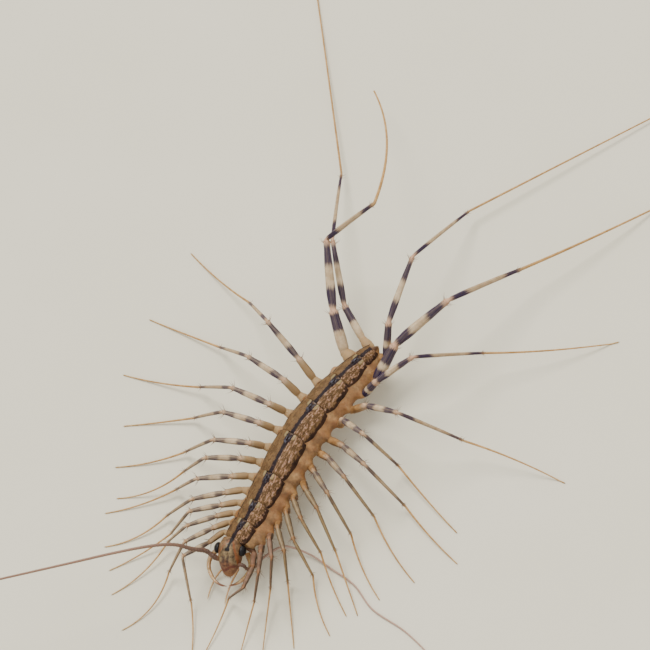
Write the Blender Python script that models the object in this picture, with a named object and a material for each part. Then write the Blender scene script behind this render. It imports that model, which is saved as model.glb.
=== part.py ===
"""House centipede, life size: a still museum model in one walking pose.

Lengths below are in millimetres and angles in degrees. The trunk lies along Y with the head
towards -Y, the animal's left is +X, and the feet stand on one level. The origin is moved to
the bottom centre of the whole animal at the end.
"""
import math

import bmesh
import bpy
from mathutils import Matrix, Vector

MM = 0.001
GAP = 0.3                     # clear space between pieces that touch in life
SOLE = 0.06                   # whatever comes this near to the floor lies flat on it
UP = Vector((0.0, 0.0, 1.0))

# Trunk: plan of the centre line from the neck to the tail, and the plates over it
SPINE = ((1.44, -13.20), (1.70, -9.80), (1.40, -5.00), (1.20, -0.50),
         (1.65, 4.00), (2.65, 8.60), (3.75, 12.60))
PLATE_ENDS = (2.0, 4.3, 7.6, 12.3, 16.3, 19.9, 23.0, 25.2)   # distance from the neck
PLATE_HALF_WIDTH = 1.82       # at the widest plate
WIDEST_AT = 14.0
NECK_SHRINK = 0.40
TAIL_SHRINK = 0.60
BACK_HEIGHT = 5.25            # top of the widest plate over the floor
BACK_DROP = 0.75              # how much lower the back is at either end
BELLY_HEIGHT = 2.65
BELLY_RISE = 0.30
TRUNK_ROLL = 1.0              # the back leans this far to the animal's right
ROLL_HEIGHT = 3.8             # height of the axis that the trunk is rolled about
PLATE_GAP = 0.42              # space left between one plate and the next
PLATE_RAISE = 0.14            # step from the soft trunk up to a plate
PLATE_NOTCH = 0.22            # depth of the notch in the middle of a plate's rear edge
NOTCH_SPREAD = 0.30           # the notch's half width as a share of the plate's
PLATE_CORNER = 0.45           # how far the rear edge is rounded forward at its corners
UNDERSIDE_FOLLOWS = 0.6       # the soft parts below follow that edge by this share
FLANK_SHARE = 0.86            # the soft flank's half width as a share of the plate's
PLATE_MARGIN = 0.10           # a plate is narrower by this share at its ends than in its middle
TAIL_TIP = 0.5                # length of the last ring behind the last plate
TAIL_TIP_SHARE = 0.55         # and its width as a share of the plate's

# One half of the trunk's cross-section from the ridge round to the belly: share of the half
# width, share of the height from belly to back, and the way each point moves under a plate
SECTION = (
    (0.00, 0.96, 0.0, 1.0),
    (0.34, 0.92, 0.0, 1.0),
    (0.66, 0.81, 0.0, 1.0),
    (0.83, 0.71, 0.9, 0.0),
    (0.90, 0.56, 1.6, 0.0),
    (0.90, 0.48, 1.4, 0.0),
    (0.84, 0.44, 0.0, 0.0),
    (0.83, 0.17, 0.0, 0.0),
    (0.62, 0.04, 0.0, 0.0),
    (0.38, 0.00, 0.0, 0.0),
)
# Rings along one plate: share of its length, how far it is raised, how far the edge is curved
PLATE_RINGS = ((0.00, 0.00, 1.0), (0.12, 0.25, 1.0), (0.22, 1.00, 0.9), (0.50, 1.00, 0.3),
               (0.80, 1.00, 0.6), (1.00, 1.10, 1.0))
LAST_PLATE_RINGS = ((0.00, 0.00, 1.0), (0.12, 0.25, 1.0), (0.22, 1.00, 0.9), (0.50, 0.90, 0.3),
                    (1.00, 0.20, 0.0))

# Head, measured along its own axis from the neck
HEAD_TURN = 20.0              # the head is turned this far to the animal's left
HEAD_ASIDE = 0.2              # and its neck sits this far to the right of the trunk's middle
HEAD_SIDES = 14
HEAD_STATIONS = (             # distance, half width, top, bottom
    (0.00, 0.45, 4.20, 3.05),
    (0.18, 0.95, 4.58, 2.60),
    (0.60, 1.16, 4.84, 2.25),
    (1.20, 1.16, 4.82, 2.15),
    (1.80, 1.26, 4.60, 2.10),
    (2.38, 1.18, 4.20, 2.10),
    (2.90, 0.92, 3.72, 2.15),
    (3.30, 0.60, 3.32, 2.25),
    (3.58, 0.32, 3.00, 2.40),
)
EYE_AT = 1.00                 # distance of the eye's middle along the head
EYE_HEIGHT = 3.88
EYE_LENGTH = 1.10
EYE_TALL = 0.80
EYE_DEPTH = 0.38
EYE_SIDES = 12
EYE_RINGS = ((0.00, 0.80), (0.24, 1.00), (0.57, 0.93), (0.81, 0.72), (1.00, 0.38))

# Legs: lengths grow with the square of the distance from the third pair
LEG_PAIRS = 15
STATION_FIRST = 0.50
STATION_STEPS = (1.02, 0.075, -0.0017)
ROOT_HEIGHT = 3.12
FRONT_ROOT_DROP = 0.07        # the roots sit this much lower for each pair before the sixth
FRONT_SLIM = 0.03             # and the legs are this much slimmer
FRONT_COXA = 0.07             # and their first piece is this much shorter
THICKEN = 0.014               # growth of the leg's thickness for each pair behind the sixth
COXA = 1.20                   # length of the thick first piece with its short ring
COXA_WIDEST = 0.54            # its largest half width
COXA_SWEEP = 0.25             # share of its direction that follows the leg's swing
REAR_SWEEP = {14: 0.0, 15: 0.38}
PREFEMUR = (1.85, 0.012)
FEMUR = (3.5, 0.020)
TIBIA = (5.4, 0.028)
TARSUS = (7.5, 0.045)
REAR_PREFEMUR = {14: 1.2, 15: 0.5}   # added to the rearmost pairs
REAR_FEMUR = {14: 1.6, 15: 1.0}
REAR_TARSUS = {14: 6.0, 15: 18.0}
REAR_THICKNESS = {14: 1.35, 15: 0.95}
TOE_HEIGHT = 0.09             # middle of a foot over the floor, low enough to give it a flat
STUMP = ("right", 13)         # this leg is lost down to its coxa and trochanter
HIP_RADIUS = 0.36
LIMB_RADII = ((0.42, 0.37), (0.34, 0.30), (0.28, 0.27))   # of prefemur, femur and tibia
KNUCKLE = 1.12                # swelling before each joint
PINCH = 0.9                   # narrowing at the joint itself
TARSUS_RADIUS = 0.26
TARSUS_TAPER = 0.04
TOE_RADIUS = 0.12
TARSUS_RINGS = (0.15, 0.35, 0.55, 0.72, 0.86, 0.94, 1.0)
TARSUS_DOWN_AT = 0.93         # the tarsus reaches the floor at this share of its length
TARSUS_SAG = {"right": 1.7, "left": 0.9}   # and comes down to it with this power

# Each leg's pose: swing of prefemur, femur, tibia and tarsus from straight out, positive towards
# the head; heights of their joints; bend of the tarsus; its length as a share of the rule's
POSE = {
    "right": (
        ((69, 74, 118, 119), (3.0, 5.0, 0.9), 17, 1.03), ((58, 69, 62, 79), (3.5, 5.2, 1.0), 50, 1.03),
        ((48, 60, 34, 70), (3.58, 5.32, 1.1), 28, 1.08), ((46, 52, 45, 56), (3.66, 5.44, 1.2), 8, 1.03),
        ((42, 46, 35, 53), (3.49, 4.56, 0.7), 35, 0.97), ((43, 37, 23, 44), (4.24, 5.21, 0.88), 15, 1.04),
        ((36, 40, 27, 43), (4.61, 6.8, 2.3), 25, 1.03), ((41, 22, 26, 38), (4.92, 4.92, 0.7), 15, 0.92),
        ((27, 11, 17, 32), (5.06, 5.04, 0.7), 0, 0.87), ((19, 5, 10, 16), (5.14, 5.37, 1.15), 8, 0.95),
        ((-11, -4, -2, 5), (5.22, 5.46, 0.9), 0, 0.88), ((-24, -20, -18, -12), (5.04, 7.4, 2.16), 10, 0.93),
        ((-30, 0, 0, 0), (4.38, 6.52, 2.1), 0, 1.03), ((-47, -56, -138, -48), (4.9, 6.9, 12.4), -33, 1.03),
        ((-31, -49, -57, -49), (3.7, 4.63, 1.26), 0, 1.03),
    ),
    "left": (
        ((56, 65, 159, 85), (3.4, 5.5, 0.9), -12, 0.9), ((44, 50, 110, 77), (4.18, 6.16, 1.31), 0, 0.81),
        ((39, 40, 102, 68), (4.43, 6.4, 1.51), 0, 0.98), ((43, 37, 92, 53), (4.43, 5.75, 0.7), 0, 0.93),
        ((36, 39, 42, 43), (4.64, 5.62, 0.7), 25, 0.87), ((37, 31, 41, 38), (4.79, 6.75, 1.54), 12, 0.9),
        ((30, 25, 47, 41), (4.5, 6.4, 1.5), 0, 0.86), ((23, 25, 38, 36), (4.85, 6.46, 1.14), 20, 0.88),
        ((9, 19, 26, 28), (4.69, 6.52, 0.83), 18, 0.92), ((3, 13, 14, 18), (4.39, 6.14, 0.8), 10, 0.87),
        ((-11, 10, 3, 19), (5.59, 8.12, 1.29), 5, 0.92), ((-23, -6, -13, -8), (5.03, 7.44, 3.0), -10, 1.01),
        ((-45, -48, -46, -37), (5.43, 8.07, 3.26), 10, 1.15), ((-83, -62, -63, -59), (4.99, 7.04, 3.52), 5, 0.9),
        ((-106, -100, -86, -57), (5.6, 6.4, 1.5), 0, 0.9),
    ),
}
RAISED_TOES = {("right", 14): 3.0}   # height of a foot that doesn't stand

# Antennae, forcipules and palps: routes by hand, the first point on the head or neck
ANTENNA_RADII = (0.30, 0.26, 0.12)
ANTENNA_RIGHT = ((0.62, -15.80, 3.95), (0.16, -15.90, 4.25), (-0.32, -15.75, 4.75),
                 (-1.16, -16.20, 5.70), (-2.70, -17.00, 7.20), (-4.60, -18.60, 8.20),
                 (-7.40, -21.20, 8.90), (-10.40, -24.00, 9.30), (-16.40, -29.40, 9.80),
                 (-21.50, -33.60, 9.60), (-26.00, -36.80, 8.80))
ANTENNA_LEFT = ((3.66, -14.90, 3.60), (4.02, -14.93, 2.90), (4.22, -14.20, 2.12),
                (4.35, -12.80, 1.65), (5.40, -10.80, 1.15), (7.90, -10.15, 0.45),
                (10.80, -10.35, 0.30), (14.00, -10.70, 0.30), (17.20, -12.00, 0.30),
                (21.70, -12.40, 0.30), (26.50, -13.70, 0.30), (31.00, -15.40, 0.30))
ANTENNA_CUT = 0.4             # share of its length at which an antenna is parted
FORCIPULE_RADII = (0.36, 0.27, 0.10)
FORCIPULE_RIGHT = ((0.68, -13.50, 2.00), (-0.02, -14.60, 1.75), (-0.35, -15.90, 1.55),
                   (-0.10, -16.95, 1.40), (0.65, -17.55, 1.30), (1.55, -17.75, 1.25),
                   (2.30, -17.60, 1.20))
FORCIPULE_LEFT = ((2.60, -13.35, 1.95), (3.55, -14.10, 1.50), (4.02, -15.10, 1.42),
                  (4.02, -15.90, 1.40), (3.70, -16.60, 1.30), (3.05, -17.20, 1.20))
PALP_RADII = (0.27, 0.25, 0.15)
PALP_RINGS = 9
PALP_RIGHT = ((1.45, -14.90, 1.52), (0.75, -15.80, 1.00), (0.35, -16.80, 0.50),
              (0.42, -18.10, 0.36), (0.75, -19.40, 0.26))
PALP_LEFT = ((2.50, -15.20, 1.52), (2.30, -16.10, 0.90), (2.25, -17.10, 0.48),
             (2.45, -18.10, 0.36), (2.75, -19.00, 0.26))
WHIP_RINGS = 14
WHIP_TIP = 0.85               # share of a feeler's length at which its tip starts to taper

SURFACES = {                  # colour, roughness
    "plate": ((0.30, 0.20, 0.12), 0.45),
    "head": ((0.42, 0.22, 0.10), 0.40),
    "eye": ((0.010, 0.009, 0.012), 0.15),
    "leg": ((0.50, 0.38, 0.24), 0.45),
    "antenna": ((0.36, 0.24, 0.21), 0.50),
    "mouthpart": ((0.62, 0.34, 0.14), 0.35),
}
SHARP_ANGLE = 40
TUBE_SIDES = 6
WELD = 0.00001                # metres


def surface(name):
    """Make one Principled material by name, once."""
    material = bpy.data.materials.get(name)
    if material:
        return material
    colour, roughness = SURFACES[name]
    material = bpy.data.materials.new(name)
    material.use_nodes = True
    shader = material.node_tree.nodes["Principled BSDF"]
    shader.inputs["Base Color"].default_value = (*colour, 1.0)
    shader.inputs["Roughness"].default_value = roughness
    shader.inputs["Metallic"].default_value = 0.0
    material.diffuse_color = (*colour, 1.0)
    return material


def smooth_route(points, per_span):
    """Catmull-Rom curve through the points, as a list of Vectors."""
    points = [Vector(point) for point in points]
    points = [2 * points[0] - points[1]] + points + [2 * points[-1] - points[-2]]
    route = []
    for a, b, c, d in zip(points, points[1:], points[2:], points[3:]):
        for step in range(per_span):
            t = step / per_span
            route.append(0.5 * (2 * b + (c - a) * t + (2 * a - 5 * b + 4 * c - d) * t ** 2
                                + (3 * b - a - 3 * c + d) * t ** 3))
    route.append(points[-2])
    return route


class Route:
    """A smooth curve that can be read at any distance from its start."""

    def __init__(self, points, per_span=16):
        self.points = smooth_route(points, per_span)
        self.marks = [0.0]
        for a, b in zip(self.points, self.points[1:]):
            self.marks.append(self.marks[-1] + (b - a).length)
        self.length = self.marks[-1]

    def at(self, distance):
        distance = min(max(distance, 0.0), self.length)
        for i, mark in enumerate(self.marks[1:]):
            if distance <= mark:
                part = (distance - self.marks[i]) / (mark - self.marks[i])
                return self.points[i].lerp(self.points[i + 1], part)
        return self.points[-1].copy()

    def direction(self, distance, reach=0.05):
        return (self.at(distance + reach) - self.at(distance - reach)).normalized()


def new_object(name, mesh, surface_name, collection):
    mesh.materials.append(surface(surface_name))
    mesh.shade_smooth()
    mesh.set_sharp_from_angle(angle=math.radians(SHARP_ANGLE))
    thing = bpy.data.objects.new(name, mesh)
    collection.objects.link(thing)
    return thing


def loft(name, rings, surface_name, collection):
    """Closed skin over rings of equal count, with a fan of triangles on each end."""
    shape = bmesh.new()
    rows = [[shape.verts.new(point * MM) for point in ring] for ring in rings]
    count = len(rows[0])
    for row, following in zip(rows, rows[1:]):
        for i in range(count):
            j = (i + 1) % count
            shape.faces.new((row[i], row[j], following[j], following[i]))
    for ring, row in ((rings[0], rows[0]), (rings[-1], rows[-1])):
        middle = shape.verts.new(sum(ring, Vector()) / count * MM)
        for i in range(count):
            shape.faces.new((row[i], row[(i + 1) % count], middle))
    bmesh.ops.recalc_face_normals(shape, faces=shape.faces)
    mesh = bpy.data.meshes.new(name)
    shape.to_mesh(mesh)
    shape.free()
    return new_object(name, mesh, surface_name, collection)


def tube(name, stations, surface_name, collection):
    """Round tube through (point, radius) stations, flattened where it meets the floor."""
    curve = bpy.data.curves.new(name, "CURVE")
    curve.dimensions = "3D"
    curve.twist_mode = "Z_UP"
    curve.bevel_depth = MM
    curve.bevel_resolution = (TUBE_SIDES - 4) // 2
    curve.use_fill_caps = True
    line = curve.splines.new("POLY")
    line.points.add(len(stations) - 1)
    for knot, (point, radius) in zip(line.points, stations):
        knot.co = (*(point * MM), 1.0)
        knot.radius = radius
    guide = bpy.data.objects.new(name + "_guide", curve)
    collection.objects.link(guide)
    graph = bpy.context.evaluated_depsgraph_get()
    mesh = bpy.data.meshes.new_from_object(guide.evaluated_get(graph))
    bpy.data.objects.remove(guide)
    bpy.data.curves.remove(curve)
    shape = bmesh.new()
    shape.from_mesh(mesh)
    bmesh.ops.remove_doubles(shape, verts=shape.verts, dist=WELD)
    for corner in shape.verts:
        if corner.co.z < SOLE * MM:
            corner.co.z = 0.0
    bmesh.ops.recalc_face_normals(shape, faces=shape.faces)
    shape.to_mesh(mesh)
    shape.free()
    mesh.name = name
    mesh.materials.clear()
    return new_object(name, mesh, surface_name, collection)


spine = Route([(x, y, 0.0) for x, y in SPINE])


def trunk_frame(distance):
    """Place and leftward direction of the trunk's centre line at floor level."""
    place = spine.at(distance)
    back = spine.direction(min(distance, spine.length))
    if distance > spine.length:
        place = place + back * (distance - spine.length)
    return place, Vector((back.y, -back.x, 0.0))


def rolled(place, left, sideways, height):
    """Point of a cross-section after the trunk's roll about its own axis."""
    angle = math.radians(TRUNK_ROLL)
    rise = height - ROLL_HEIGHT
    across = sideways * math.cos(angle) - rise * math.sin(angle)
    level = ROLL_HEIGHT + sideways * math.sin(angle) + rise * math.cos(angle)
    return place + left * across + UP * level


def half_width(distance):
    """Half width of the plates at this distance from the neck."""
    if distance < WIDEST_AT:
        return PLATE_HALF_WIDTH * (1 - NECK_SHRINK * (1 - distance / WIDEST_AT) ** 2)
    tail = (distance - WIDEST_AT) / (PLATE_ENDS[-1] - WIDEST_AT)
    return PLATE_HALF_WIDTH * (1 - TAIL_SHRINK * tail ** 2)


def heights(distance):
    """Top of the back and bottom of the belly at this distance from the neck."""
    middle = PLATE_ENDS[-1] / 2
    bow = ((distance - middle) / middle) ** 2
    return BACK_HEIGHT - BACK_DROP * bow, BELLY_HEIGHT + BELLY_RISE * bow


def edge_shift(across, height, wide, middle):
    """How far a plate's rear edge is drawn forward at this point of the cross-section."""
    corner = PLATE_CORNER * min(abs(across) / wide, 1.0) ** 3
    notch = PLATE_NOTCH * max(0.0, 1 - abs(across) / (NOTCH_SPREAD * wide))
    return (corner + notch) * (1.0 if height > middle else UNDERSIDE_FOLLOWS)


def trunk_ring(distance, raised, edge=1.0, width_share=1.0):
    """Cross-section: domed plate, its side edge, soft flank and flat belly."""
    wide = half_width(distance) * width_share
    top, bottom = heights(distance)
    middle = bottom + SECTION[5][1] * (top - bottom)
    step = PLATE_RAISE * raised
    half = [(share * wide + out * step, bottom + level * (top - bottom) + up * step)
            for share, level, out, up in SECTION]
    points = half + [(0.0, bottom)] + [(-across, height) for across, height in half[:0:-1]]
    ring = []
    for across, height in points:
        shift = edge * edge_shift(across, height, wide, middle)
        ring.append(rolled(*trunk_frame(distance - shift), across, height))
    return ring


def build_trunk(collection):
    """Eight lengths of trunk, each with its plate raised on it."""
    start = PLATE_GAP
    for number, end in enumerate(PLATE_ENDS, 1):
        last = number == len(PLATE_ENDS)
        courses = LAST_PLATE_RINGS if last else PLATE_RINGS
        rings = []
        for share, raised, edge in courses:
            if number == 1 and share < 0.5:
                edge = 0.0
            margin = 1 - PLATE_MARGIN * abs(2 * share - 1) ** 3
            rings.append(trunk_ring(start + share * (end - start), raised, edge, margin))
        if last:
            rings.append(trunk_ring(end + TAIL_TIP, -0.6, 0.0, TAIL_TIP_SHARE))
        loft(f"trunk_{number:02d}", rings, "plate", collection)
        start = end + PLATE_GAP


def head_point(distance, sideways, height):
    """Point in the head's own frame: forward from the neck, leftward, and height."""
    place, aside = trunk_frame(0.0)
    turn = Matrix.Rotation(math.radians(HEAD_TURN), 3, "Z")
    forward = turn @ Vector((0.0, -1.0, 0.0))
    left = Vector((-forward.y, forward.x, 0.0))
    place = place - aside * HEAD_ASIDE
    return place + forward * distance + left * sideways + UP * height


def rounded(value, power):
    return math.copysign(abs(value) ** power, value)


def build_head(collection):
    """Head capsule: a rounded box that narrows to the lip."""
    rings = []
    for distance, wide, top, bottom in HEAD_STATIONS:
        middle = (top + bottom) / 2
        tall = (top - bottom) / 2
        ring = []
        for step in range(HEAD_SIDES):
            angle = 2 * math.pi * step / HEAD_SIDES
            ring.append(head_point(distance, rounded(math.cos(angle), 0.8) * wide,
                                   middle + rounded(math.sin(angle), 0.9) * tall))
        rings.append(ring)
    loft("head", rings, "head", collection)


def head_half_width(distance):
    for (a, wide_a, *_), (b, wide_b, *_) in zip(HEAD_STATIONS, HEAD_STATIONS[1:]):
        if a <= distance <= b:
            return wide_a + (wide_b - wide_a) * (distance - a) / (b - a)
    return HEAD_STATIONS[-1][1]


def build_eye(side, collection):
    """Domed eye with a flat inner face towards the head's flank."""
    sign = 1 if side == "left" else -1
    wide = head_half_width(EYE_AT)
    rings = []
    for depth, scale in EYE_RINGS:
        ring = []
        for step in range(EYE_SIDES):
            angle = 2 * math.pi * step / EYE_SIDES
            ring.append(head_point(EYE_AT + EYE_LENGTH / 2 * scale * math.cos(angle),
                                   sign * (wide + GAP + depth * EYE_DEPTH),
                                   EYE_HEIGHT + EYE_TALL / 2 * scale * math.sin(angle)))
        rings.append(ring)
    loft(f"eye_{side}", rings, "eye", collection)


def whip(name, points, radii, surface_name, collection, cuts=(), rings=WHIP_RINGS):
    """Long feeler along a smooth route, cut into lengths with a gap between them."""
    route = Route(points)
    ends = [0.0] + [cut * route.length for cut in cuts] + [route.length]
    base, slim, tip = radii
    for number, (start, end) in enumerate(zip(ends, ends[1:]), 1):
        start += GAP / 2 if number > 1 else 0.0
        end -= GAP / 2 if number < len(ends) - 1 else 0.0
        stations = []
        for step in range(rings + 1):
            distance = start + (end - start) * step / rings
            part = distance / route.length
            radius = base + (slim - base) * min(part / WHIP_TIP, 1.0)
            if part > WHIP_TIP:
                radius = slim + (tip - slim) * (part - WHIP_TIP) / (1 - WHIP_TIP)
            stations.append((route.at(distance), radius))
        tube(f"{name}_{number}" if cuts else name, stations, surface_name, collection)


def leg_length(rule, pair, extra=None):
    return rule[0] + rule[1] * (pair - 3) ** 2 + (extra or {}).get(pair, 0.0)


def leg_station(pair):
    """Distance of a pair of legs from the neck."""
    steps = pair - 1
    a, b, c = STATION_STEPS
    return STATION_FIRST + a * steps + b * steps ** 2 + c * steps ** 3


def swing_direction(side, angle):
    sign = 1 if side == "left" else -1
    angle = math.radians(angle)
    return Vector((sign * math.cos(angle), -math.sin(angle), 0.0))


def reach(start, side, angle, length, height):
    """End of a limb piece of this length that ends at this height."""
    drop = height - start.z
    level = math.sqrt(max(length ** 2 - drop ** 2, 0.01))
    return start + swing_direction(side, angle) * level + UP * drop


def leg_joints(side, pair):
    """Root, hip, and the ends of prefemur, femur, tibia and tarsus."""
    sign = 1 if side == "left" else -1
    distance = leg_station(pair)
    place, left = trunk_frame(distance)
    height = ROOT_HEIGHT - FRONT_ROOT_DROP * max(6 - pair, 0)
    root = rolled(place, left, sign * (half_width(distance) * FLANK_SHARE + GAP), height)
    swings, levels, _, tarsus_share = POSE[side][pair - 1]
    levels = (*levels, RAISED_TOES.get((side, pair), TOE_HEIGHT))
    lengths = (leg_length(PREFEMUR, pair, REAR_PREFEMUR), leg_length(FEMUR, pair, REAR_FEMUR),
               leg_length(TIBIA, pair), leg_length(TARSUS, pair, REAR_TARSUS) * tarsus_share)
    sweep = REAR_SWEEP.get(pair, COXA_SWEEP)
    out = left * sign * (1 - sweep) + swing_direction(side, swings[0]) * sweep
    joints = [root, root + out * (COXA - FRONT_COXA * max(6 - pair, 0))]
    for swing, length, level in zip(swings, lengths, levels):
        joints.append(reach(joints[-1], side, swing, length, level))
    return joints


def coxa_radius(pair):
    """Half width that leaves a gap to the next leg's coxa."""
    spacing = leg_station(pair + 1) - leg_station(pair)
    return min((spacing - GAP) / 2, COXA_WIDEST)


def coxa_stations(root, hip, pair, scale):
    wide = coxa_radius(pair)
    return [(root, wide * 0.9), (root.lerp(hip, 0.45), wide), (root.lerp(hip, 0.8), wide * 0.8),
            (hip, HIP_RADIUS * scale)]


def tarsus_point(side, pair, ankle, toe, part):
    """Point at this share of the tarsus, which curves sideways and down to the floor."""
    swings, _, bend, _ = POSE[side][pair - 1]
    bow = (toe - ankle).length * math.radians(bend) / 8
    aside = swing_direction(side, swings[3] + 90)
    point = ankle.lerp(toe, part) + aside * bow * 4 * part * (1 - part)
    if (side, pair) not in RAISED_TOES:
        fall = max(0.0, 1 - part / TARSUS_DOWN_AT) ** TARSUS_SAG[side]
        point.z = toe.z + (ankle.z - toe.z) * fall
    return point


def leg_stations(side, joints, pair, scale):
    """Rings along a leg: swollen at the joints' ends, pinched at the joints."""
    root, hip, knee_1, knee_2, ankle, toe = joints
    rings = coxa_stations(root, hip, pair, scale)
    for (a, b), (thick, slim) in zip(((hip, knee_1), (knee_1, knee_2), (knee_2, ankle)), LIMB_RADII):
        rings += [(a.lerp(b, 0.12), thick * scale), (a.lerp(b, 0.55), thick * scale),
                  (a.lerp(b, 0.90), slim * KNUCKLE * scale),
                  (b, max(slim * PINCH * scale, TARSUS_RADIUS))]
    for part in TARSUS_RINGS:
        point = tarsus_point(side, pair, ankle, toe, part)
        radius = TARSUS_RADIUS - TARSUS_TAPER * part if part < 1.0 else TOE_RADIUS
        rings.append((point, radius))
    return rings


def build_leg(side, pair, collection):
    scale = 1 + THICKEN * max(pair - 6, 0) - FRONT_SLIM * max(6 - pair, 0)
    scale *= REAR_THICKNESS.get(pair, 1.0)
    joints = leg_joints(side, pair)
    if (side, pair) == STUMP:
        stations = coxa_stations(joints[0], joints[1], pair, scale)
    else:
        stations = leg_stations(side, joints, pair, scale)
    tube(f"leg_{side}_{pair:02d}", stations, "leg", collection)


def clear_scene():
    for thing in list(bpy.data.objects):
        bpy.data.objects.remove(thing)


def settle(collection):
    """Move everything so that the origin is the bottom centre of the whole animal."""
    corners = [corner.co for thing in collection.objects for corner in thing.data.vertices]
    low = Vector([min(corner[i] for corner in corners) for i in range(3)])
    high = Vector([max(corner[i] for corner in corners) for i in range(3)])
    shift = Vector((-(low.x + high.x) / 2, -(low.y + high.y) / 2, -low.z))
    for thing in collection.objects:
        thing.data.transform(Matrix.Translation(shift))


def main():
    clear_scene()
    collection = bpy.data.collections.new("house_centipede")
    bpy.context.scene.collection.children.link(collection)
    build_trunk(collection)
    build_head(collection)
    for side in ("right", "left"):
        build_eye(side, collection)
        for pair in range(1, LEG_PAIRS + 1):
            build_leg(side, pair, collection)
    for name, points in (("antenna_right", ANTENNA_RIGHT), ("antenna_left", ANTENNA_LEFT)):
        whip(name, points, ANTENNA_RADII, "antenna", collection, cuts=(ANTENNA_CUT,))
    for name, points in (("forcipule_right", FORCIPULE_RIGHT), ("forcipule_left", FORCIPULE_LEFT)):
        whip(name, points, FORCIPULE_RADII, "mouthpart", collection)
    for name, points in (("palp_right", PALP_RIGHT), ("palp_left", PALP_LEFT)):
        whip(name, points, PALP_RADII, "mouthpart", collection, rings=PALP_RINGS)
    settle(collection)


main()
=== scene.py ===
"""House centipede, life size: its skin, plates, banded legs, bristles and colours.

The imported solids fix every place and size. Lengths below are in millimetres and angles in
degrees, in the animal's own frame, with the head towards -Y and its left towards +X. Each
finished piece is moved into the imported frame, in metres.
"""
import math
import random

import bpy
import numpy as np
from mathutils import Matrix, Vector


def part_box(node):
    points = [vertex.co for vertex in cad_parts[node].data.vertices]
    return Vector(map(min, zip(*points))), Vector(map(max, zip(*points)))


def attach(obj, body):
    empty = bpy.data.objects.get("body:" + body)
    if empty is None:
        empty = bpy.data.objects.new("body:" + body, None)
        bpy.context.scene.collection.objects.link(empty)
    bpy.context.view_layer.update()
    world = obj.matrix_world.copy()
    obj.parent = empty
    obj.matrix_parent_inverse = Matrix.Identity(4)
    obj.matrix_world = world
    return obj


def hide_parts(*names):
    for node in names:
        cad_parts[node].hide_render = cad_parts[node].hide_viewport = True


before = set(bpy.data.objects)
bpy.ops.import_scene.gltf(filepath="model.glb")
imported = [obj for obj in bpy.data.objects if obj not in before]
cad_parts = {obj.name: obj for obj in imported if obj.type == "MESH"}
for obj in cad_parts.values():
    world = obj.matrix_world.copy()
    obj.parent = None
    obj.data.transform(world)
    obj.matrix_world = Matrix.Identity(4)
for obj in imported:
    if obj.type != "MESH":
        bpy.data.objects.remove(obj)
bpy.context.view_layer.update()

MM = 0.001
MERGE = 1e-7                  # metres, for corners that lie on one another
SMOOTH_BELOW = 40.0           # faces that meet at less than this are shaded as one
UP = Vector((0.0, 0.0, 1.0))
SIGN = {"right": -1, "left": 1}       # of the X axis on each side of the animal
ROUTE_STEPS = 16              # points for each span of a route

# Trunk: plan of the centre line from the neck to the tail, and the plates over it
SPINE = ((1.44, -13.20), (1.70, -9.80), (1.40, -5.00), (1.20, -0.50),
         (1.65, 4.00), (2.65, 8.60), (3.75, 12.60))
PLATE_ENDS = (2.0, 4.3, 7.6, 12.3, 16.3, 19.9, 23.0, 25.2)   # distance from the neck
PLATE_HALF_WIDTH = 1.82
WIDEST_AT = 14.0
NECK_SHRINK = 0.32
TAIL_SHRINK = 0.60
BACK_HEIGHT = 5.25
BACK_DROP = 0.75
BELLY_HEIGHT = 2.65
BELLY_RISE = 0.30
TRUNK_ROLL = 1.0
ROLL_HEIGHT = 3.8
PLATE_GAP = 0.42              # space left between one plate and the next
PLATE_RAISE = 0.14
PLATE_NOTCH = 0.26            # depth of the notch in the middle of a plate's rear edge
NOTCH_SPREAD = 0.26
PLATE_CORNER = 0.22
PLATE_FIT = 1.01              # width of a finished plate as a share of the solid one
PLATE_MARGIN = 0.10           # a plate is narrower by this share at its ends than in its middle
PLATE_BARREL = 2.6            # the larger, the straighter the middle of its sides
PLATE_OVERHANG = 0.40         # how far a rear edge reaches over the front of the next plate
LAST_PLATE_SHORT = -0.35      # the last plate ends before its place, with no overhang
PLATE_THICK = 0.09
FIRST_PLATE_FRONT = 0.05
PLATE_COLUMNS = 60
PLATE_ROWS = 34
# Half of a plate from the ridge to the edge: share of the half width, share of the height,
# and how far the point moves out and up as the plate is raised
PLATE_SECTION = np.array((
    (0.00, 0.96, 0.0, 1.0), (0.34, 0.93, 0.0, 1.0), (0.66, 0.83, 0.2, 0.9),
    (0.84, 0.71, 0.8, 0.4), (0.91, 0.60, 1.3, 0.1), (0.92, 0.52, 1.4, 0.0)))
# Along a plate, from its front edge to its rear edge: how far it is raised, and how far its
# corners are rounded forwards
PLATE_RISE = ((0.00, 0.45), (0.12, 0.80), (0.25, 1.00), (0.80, 1.00), (1.00, 1.25))
LAST_PLATE_RISE = ((0.00, 0.45), (0.12, 0.80), (0.22, 1.00), (0.60, 0.80), (1.00, 0.20))
PLATE_BEND = ((0.00, 1.0), (0.50, 0.3), (1.00, 1.0))
LAST_PLATE_BEND = ((0.00, 1.0), (0.50, 0.3), (1.00, -0.6))
# Ribs and creases along a plate: share of the way to its edge, spread and height
PLATE_RIBS = ((0.62, 0.10, 0.03), (0.78, 0.06, -0.03))
RIM_SPINES = 34
PLATE_HAIRS = 46
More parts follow.
